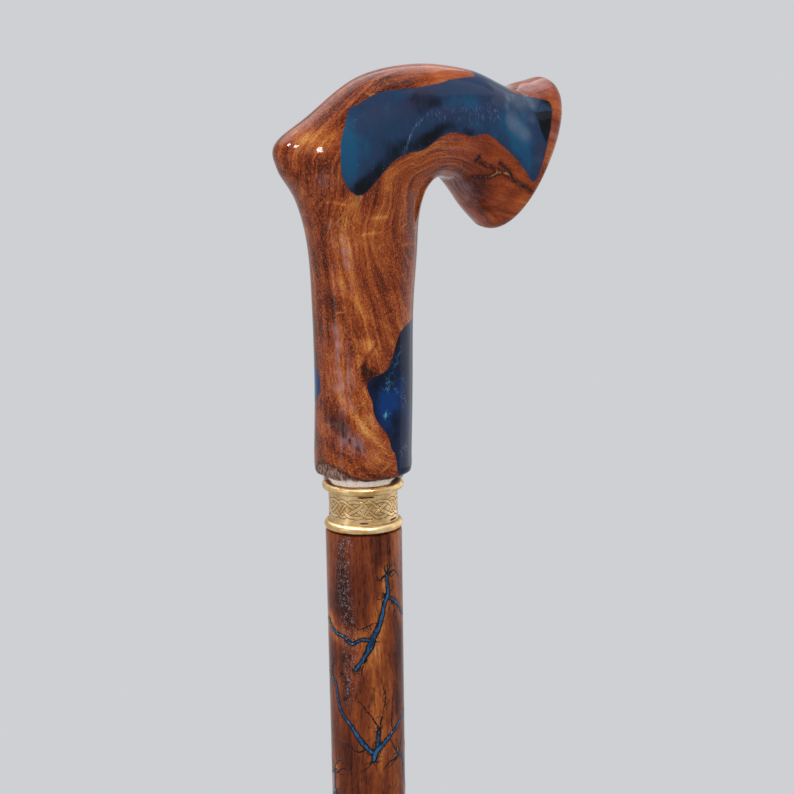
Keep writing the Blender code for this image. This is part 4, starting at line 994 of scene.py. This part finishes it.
def burl_wood(wire):
    """Burl from dark red-brown to gold, by the figure, the streaks and the fine lines that follow the grain,
    with dark and pale dots and a painted reflection of pale light, purple on the lobe. Where it is bare, its
    colour is that of raw wood, chalky at the foot, and painted near-black as shade in the foot's gaps."""
    [along] = wire.stored("grain", output=1)
    place = wire.place()
    flow = along.swirled((42, 42, 22), 0.008).swirled((150, 150, 60), 0.0022)
    figure = flow.noise((70, 70, 17), 3, 0.55, 0.3)
    streaks = flow.noise((300, 300, 15), 5, 0.66, 0.25)
    lines = flow.noise((1000, 1000, 26), 2, 0.6)
    rays = along.noise((150, 150, 620), 2, 0.5, 0.3).rise(0.62, 0.76)
    rays = rays * place.noise((55, 55, 55)).rise(0.5, 0.6)
    dashes = flow.noise((2600, 2600, 1500), 2, 0.6, 0.8)
    density = place.noise((95, 95, 70))
    painted_sheen_amount, tone, edge, bare, chalk_and_gap_shade, calm = wire.stored("silk_and_sheen", "tone", "edge", "bare", "chalk_and_gap_shade", "gilt")
    value = figure * 0.66 + (streaks - 0.5) * (1.25 - calm * 0.95) + 0.195 + tone * 0.66
    value = value + (lines - 0.5) * (0.55 - calm * 0.4)
    colour = value.ramp((0.14, 46, 15, 9), (0.32, 94, 33, 15), (0.47, 144, 58, 25), (0.62, 180, 86, 38),
                        (0.78, 212, 127, 58), (0.94, 232, 166, 94))
    dots = dashes.rise(0.5, 0.59) * (density * 1.3 + 0.2 - tone * 0.9) * (1 - calm * 0.5)
    colour = (dots * 0.74).mix(colour, (60, 20, 12))
    light = (1 - dashes).rise(0.56, 0.66) * (0.4 + tone * 0.5) * (1 - calm * 0.6)
    colour = light.mix(colour, (232, 150, 84))
    colour = (lines.rise(0.58, 0.66) * (0.45 - calm * 0.35)).mix(colour, (60, 20, 12))
    colour = (rays * (0.55 - calm * 0.5)).mix(colour, (218, 148, 78))
    # Painted reflection: a cool pink sheen over the figure, purple on the lobe
    painted_sheen = painted_sheen_amount * (flow.noise((520, 520, 30), 3, 0.6).rise(0.4, 0.62) + calm * 0.4) * 0.6
    lobe = calm * place.part(2).fall(0.885, 0.892)
    colour = painted_sheen.mix(colour, lobe.mix((204, 158, 158), (104, 74, 92)))
    colour = (edge.fall(0.05, 0.35) * 0.45).mix(colour, (44, 20, 12))
    fibre = place.noise((1250, 1250, 520), 3, 0.65)
    raw = fibre.ramp((0.36, 66, 44, 36), (0.5, 128, 96, 84), (0.64, 184, 150, 134))
    white = fibre.ramp((0.34, 246, 204, 186), (0.48, 255, 236, 222), (0.66, 255, 250, 242))
    # Bare wood is raw, chalky at the foot, and painted near-black as shade where the chalk value is negative
    colour = bare.mix(colour, (0 - chalk_and_gap_shade).rise(0.2, 0.8).mix(chalk_and_gap_shade.mix(raw, white), (26, 12, 8)))
    colour = (bare * (1 - bare) * 3.4).mix(colour, (44, 24, 16))
    height = fibre * bare * 1.6 + place.noise((260, 260, 260), 1) * 0.1
    return coated(colour, bare * 0.55 + 0.07, 0.18, height.bump(0.00012))


add_skin_piece("handle_burl", table, wood_faces, 2, finish("burl_wood", burl_wood), "burl_wood",
               ["handle_wood"])


# Resin
# Blue epoxy with pearl mica, poured round the block's natural edges in three places: the saddle, the
# front of the neck and a small pocket behind it. Mica drifts in silky veils through the depth.


def pearl_resin(wire):
    """Deep blue that turns azure, black or violet by the tint and drifting clouds, with silky strokes, a
    pale haze of painted reflection, bright curls and mica flecks. Where the coat ends it is ground white,
    and it is painted near-black as shade in the foot's gaps."""
    place = wire.place()
    drift = place.swirled((48, 48, 48), 0.018).swirled((160, 160, 160), 0.004)
    cloud = drift.noise((58, 58, 40), 4, 0.62, 0.5)
    shade = drift.noise((66, 66, 80), 2, 0.5, 0.6)
    veil = drift.noise((300, 300, 90), 3, 0.6, 0.8)
    strokes = place.swirled((300, 300, 300), 0.001).noise((2300, 2300, 560), 2, 0.6).rise(0.5, 0.66)
    fleck = place.noise((2900, 2900, 2900), 0).rise(0.82, 0.85)
    [tint], (silk_and_sheen, bare, chalk_and_gap_shade) = wire.stored("tint", output=1), wire.stored("silk_and_sheen", "bare", "chalk_and_gap_shade")
    brush = place.swirled((90, 90, 90), 0.006).noise((420, 420, 70), 4, 0.65) - 0.5
    azure = (tint.part(0) + cloud * 2 - 1.02 + (veil - 0.5) * 0.8 + brush * 0.9).rise(0, 1.1)
    black = (tint.part(1) + shade * 1.6 - 0.95 + (veil - 0.5) * 0.4 - brush * 0.7).rise(0, 1)
    violet = (tint.part(2) + veil * 0.6 - 0.36).rise(0, 1)
    low = place.part(2).fall(0.835, 0.86)
    colour = azure.mix(low.mix((38, 60, 92), (16, 30, 60)), low.mix((28, 84, 122), (10, 60, 124)))
    colour = (violet * 0.75).mix(colour, (56, 54, 82))
    colour = (black * 0.96).mix(colour, (8, 11, 17))
    colour = ((0 - silk_and_sheen).rise(0, 1) * strokes * 0.46).mix(colour, (104, 124, 172))
    curl = place.swirled((260, 260, 260), 0.004).noise((330, 330, 200)).gap(0.5).fall(0.004, 0.03)
    # On the saddle this is a pale haze of painted reflection; round the neck, bright mica curls
    bright = silk_and_sheen.rise(0, 1) * low.mix(strokes * 0.15 + 0.36, curl * 0.6 + silk_and_sheen.rise(0.9, 1.7) * 0.35)
    colour = bright.mix(colour, low.mix((124, 138, 154), (96, 172, 212)))
    # One silky thread across the saddle, along x = 9 + 0.38 t + 0.00023 t ** 4, in mm, t over its foot
    rise = place.part(2) * 1000 - (HANDLE_BASE + 110.4)
    aside = (place.part(0) * 1000).gap(rise * (rise * rise * rise * 0.00023 + 0.38) + 9)
    thread = aside.fall(0.05, 0.4) + aside.fall(0.3, 1.6) * strokes * 1.4
    thread = thread * rise.rise(-0.5, 2) * rise.fall(9.5, 12.5) * place.part(1).fall(-0.004, 0)
    colour = (thread * (strokes * 0.22 + 0.16)).mix(colour, (112, 148, 192))
    colour = (fleck * 0.25).mix(colour, (150, 190, 215))
    white = veil.ramp((0.3, 148, 134, 130), (0.7, 206, 198, 194))
    # Ground resin is white, and painted near-black as shade in the foot's open gaps
    colour = bare.mix(colour, (0 - chalk_and_gap_shade).rise(0.2, 0.8).mix(white, (16, 12, 14)))
    height = veil * bare + place.noise((240, 240, 240), 1) * 0.06
    return coated(colour, bare * 0.5 + 0.06, 0.16, height.bump(0.00012))


resin = finish("handle_resin", pearl_resin)
for pocket, faces, depth in zip(("saddle", "neck", "rear"), poured, (3, 3, 2)):
    add_skin_piece(f"resin_{pocket}", table, faces, depth, resin, "handle_resin", [f"handle_resin_{pocket}"])


# Crack of the lobe
# A natural crack in the hanging lobe, filled with dark resin and gold dust before the last sanding, so
# that the fill lies flush with the wood under the same gloss.


def crack_look(wire):
    """Gold dust where it is gilt, and dark resin elsewhere."""
    mottle = wire.place().noise((900, 900, 900), 3, 0.6, 0.6)
    [gilt] = wire.stored("gilt")
    gold = (gilt + (mottle - 0.5) * 0.9).rise(0.35, 0.65)
    dark = mottle.ramp((0.5, 12, 7, 5), (0.72, 92, 78, 70))
    return coated(gold.mix(dark, mottle.ramp((0.34, 70, 38, 16), (0.62, 176, 124, 66))), 0.16, 0.32)


add_skin_piece("lobe_crack", table, poured[-1], 1.2, finish("crack_fill", crack_look), "crack_fill",
               ["lobe_crack_fill"])


# Stud
# A steel stud with a cut M10 thread. Its upper part is glued into a bore up the neck of the handle, and
# its lower part screws into the insert.

STUD_RADIUS, STUD_TOP, STUD_FOOT, THREAD = 5.0, HANDLE_BASE + 38.0, HANDLE_BASE - 24.0, 1.5
turn, height = np.meshgrid(np.linspace(0, math.tau, 40, endpoint=False),
                           np.linspace(STUD_FOOT, STUD_TOP, 420))
# The thread: its depth follows a trapezoid wave of the height less the pitch times the turn
wave = np.abs((height / THREAD - turn / math.tau) % 1 - 0.5) * 2
end_taper = np.clip(np.minimum(height - STUD_FOOT, STUD_TOP - height), 0, 1)
radius = STUD_RADIUS - 0.85 * np.clip(wave * 1.35 - 0.2, 0, 1)
stud_grid = spun(np.minimum(radius, STUD_RADIUS - 1 + end_taper), turn, height)
stud_grid = np.concatenate([stud_grid[:1] * (0, 0, 1), stud_grid, stud_grid[-1:] * (0, 0, 1)])


def steel_look(wire):
    """Plain steel with fine turning marks."""
    streak = wire.place().noise((500, 500, 3800), 3, 0.6)
    return {"Base Color": streak.ramp((0.3, 128, 130, 134), (0.7, 178, 180, 184)), "Metallic": 1,
            "Roughness": streak * 0.25 + 0.2, "Normal": streak.bump(0.00001)}


steel = finish("steel", steel_look)
add_piece("threaded_stud", *close_grid(stud_grid)[:2], steel, "handle_body", "steel", ["joint_stud"])


# Tip
# A moulded rubber tip, with ribs round its neck and treads under its face, pushed over the shaft's foot. A
# steel washer lies on the floor of its bore, under the shaft.

TIP_BORE, TIP_WALL, TIP_FLOOR, TIP_TOP, GROUND_RADIUS, FLARE_TOP = 9.8, 13.2, 10.0, 48.0, 18.0, 21.0
RIB, RIB_HEIGHTS, LIP, TREADS, TREAD_DEPTH, FLUTES = 0.35, (24, 28, 32), 14.0, (6.5, 11.5), 1.5, 24
share = np.linspace(1, 0, 26)
flare = np.stack([TIP_WALL + (GROUND_RADIUS - TIP_WALL) * share ** 2, FLARE_TOP - 14 * share], 1)
groove = ((-0.9, 0), (-0.8, TREAD_DEPTH), (0.8, TREAD_DEPTH), (0.9, 0))
treads = [(radius + side, height) for radius in TREADS for side, height in groove]
rib = ((0, 0), (RIB, 0.25), (RIB, 0.75), (0, 1))
ribs = [(TIP_WALL + out, height + up) for height in RIB_HEIGHTS for out, up in rib]
tip_grid = turned(
    [(0, 0), *treads, (16.9, 0), (17.6, 0.35), (GROUND_RADIUS, 1.2), (GROUND_RADIUS, 6), *flare, *ribs,
     (TIP_WALL, 44), (LIP, 44.6), (LIP, 47.2), (13.6, 47.8), (13.1, TIP_TOP), (10.2, TIP_TOP),
     (TIP_BORE, TIP_TOP - 0.5), (TIP_BORE, TIP_FLOOR), (0, TIP_FLOOR)], 96, 0.7)
tip_reach, tip_turn = polar(tip_grid)
fluted = (tip_grid[..., 2] < 8) & (tip_reach > 17.2)
tip_grid[..., :2] *= np.where(fluted, 1 - 0.012 * (0.5 + 0.5 * np.cos(FLUTES * tip_turn)), 1)[..., None]


def rubber_look(wire):
    """Matt black rubber with a grey bloom, and dust near the ground."""
    place = wire.place()
    bloom = place.noise((90, 90, 70), 4, 0.6)
    grit = place.noise((1900, 1900, 1900))
    dust = place.part(2).fall(0, 0.012) * bloom * 0.5
    colour = dust.mix(bloom.ramp((0.3, 22, 22, 23), (0.7, 42, 41, 41)), (112, 104, 94))
    return {"Base Color": colour, "Roughness": bloom * 0.2 + 0.5, "Normal": grit.bump(0.00003)}


add_piece("ribbed_tip", *close_grid(tip_grid)[:2], finish("tip_rubber", rubber_look), "tip_body",
          "tip_rubber", ["rubber_tip"])
dress("tip_washer", steel)


# Studio
# A pale floor that runs out into a pale backdrop, soft boxes over, behind and beside the stick, small
# lamps for the sparks on the heel, and the camera of the photograph.

BACKDROP, AMBIENT = paint(206, 208, 211), (0.42, 0.42, 0.43, 1.0)
TARGET, FLOOR_HALF = Vector((0.0, 0.0, 0.87)), 20
CAMERA_TURN, CAMERA_RISE, CAMERA_ROLL, CAMERA_AWAY, CAMERA_LENS = -32.0, 13.2, -1.0, 1.3, 176.83


def toward(bearing, rise):
    """The direction at a bearing from -Y towards +X and a rise over level, both in radians."""
    return Vector((math.sin(bearing) * math.cos(rise), -math.cos(bearing) * math.cos(rise), math.sin(rise)))


def lamp(name, bearing, rise, away, width, height, level, glossy=True, diffuse=True):
    """A soft box seen from the handle at a bearing and a rise in degrees, which shows at a level of
    brightness: power = level * pi * area."""
    light = bpy.data.lights.new(name, "AREA")
    light.shape, light.size, light.size_y = "RECTANGLE", width, height
    light.energy = level * math.pi * width * height
    box = bpy.data.objects.new(name, light)
    direction = toward(math.radians(bearing), math.radians(rise))
    box.location = TARGET + direction * away
    box.rotation_euler = direction.to_track_quat("Z", "Y").to_euler()
    box.visible_glossy, box.visible_diffuse = glossy, diffuse
    bpy.context.scene.collection.objects.link(box)


def seen(wire):
    """1 for rays from the camera and from glossy or clear pieces, 0 for the light that falls on things."""
    camera_ray, glossy_ray, clear_ray = [wire.add("LightPath", output=output) for output in (0, 3, 6)]
    return wire.maths("MAXIMUM", camera_ray, wire.maths("MAXIMUM", glossy_ray, clear_ray))


lamp("top_box", 165, 55, 1.5, 1.7, 0.52, 2)
lamp("overhead_box", 165, 35, 1.5, 1.7, 0.54, 1.6)
lamp("sky_box", 165, 85, 1.5, 1.6, 0.9, 1.1)
lamp("side_box", 87, 6, 1.5, 1.6, 1.5, 0.7)
lamp("bead_box", -56, 42, 1.4, 1.5, 0.75, 1.25)
lamp("front_box", 62, 45, 1.6, 1.2, 0.6, 0.8)
lamp("fill_box", -45, 25, 2, 1.6, 1.6, 0.9, glossy=False)
lamp("spark_one", -125, 52, 1.2, 0.2, 0.2, 60, diffuse=False)
lamp("spark_two", -81, 58, 1.2, 0.22, 0.22, 60, diffuse=False)
lamp("spark_three", -12, 38, 1.2, 0.14, 0.32, 64, diffuse=False)
lamp("left_strip", -90, -6, 1.3, 0.24, 0.62, 1.8)

scene = bpy.context.scene
scene.world = bpy.data.worlds.new("studio")
scene.world.use_nodes = True
sky = scene.world.node_tree
sky.links.new(seen(Wire(sky)).mix(AMBIENT, BACKDROP).socket, sky.nodes["Background"].inputs["Color"])

floor_look = bpy.data.materials.new("floor")
floor_look.use_nodes = True
ground = Wire(floor_look.node_tree)
place = ground.place()
distance = place.add("VectorMath", {"operation": "LENGTH"}, {0: place}, 1)
shown = seen(ground)
plain = ground.add("BsdfDiffuse", {}, {"Color": paint(226, 227, 229)})
far = ground.add("Emission", {}, {"Color": BACKDROP})
both = ground.add("MixShader", {}, {0: distance.rise(0.6, 1.8) * shown, 1: plain, 2: far})
ground.tree.links.new(both.socket, ground.tree.nodes["Material Output"].inputs["Surface"])
corners = [(x * FLOOR_HALF, y * FLOOR_HALF, 0) for x, y in ((-1, -1), (1, -1), (1, 1), (-1, 1))]
floor_mesh = bpy.data.meshes.new("floor")
floor_mesh.from_pydata(corners, [], [(0, 1, 2, 3)])
floor_mesh.materials.append(floor_look)
floor = bpy.data.objects.new("floor", floor_mesh)
scene.collection.objects.link(floor)

azimuth, elevation, roll = map(math.radians, (CAMERA_TURN, CAMERA_RISE, CAMERA_ROLL))
back = toward(azimuth, elevation)
level = Vector((math.cos(azimuth), math.sin(azimuth), 0))
rise = back.cross(level)
right = math.cos(roll) * level + math.sin(roll) * rise
up = math.cos(roll) * rise - math.sin(roll) * level
camera = bpy.data.objects.new("camera", bpy.data.cameras.new("camera"))
camera.data.lens, camera.data.sensor_width = CAMERA_LENS, 36
camera.matrix_world = Matrix((right, up, back)).transposed().to_4x4()
camera.location = Vector((0, 0, 0.772)) + 0.011267 * right + 0.034667 * up + CAMERA_AWAY * back
scene.collection.objects.link(camera)
scene.camera = camera
scene.view_settings.view_transform = "Standard"
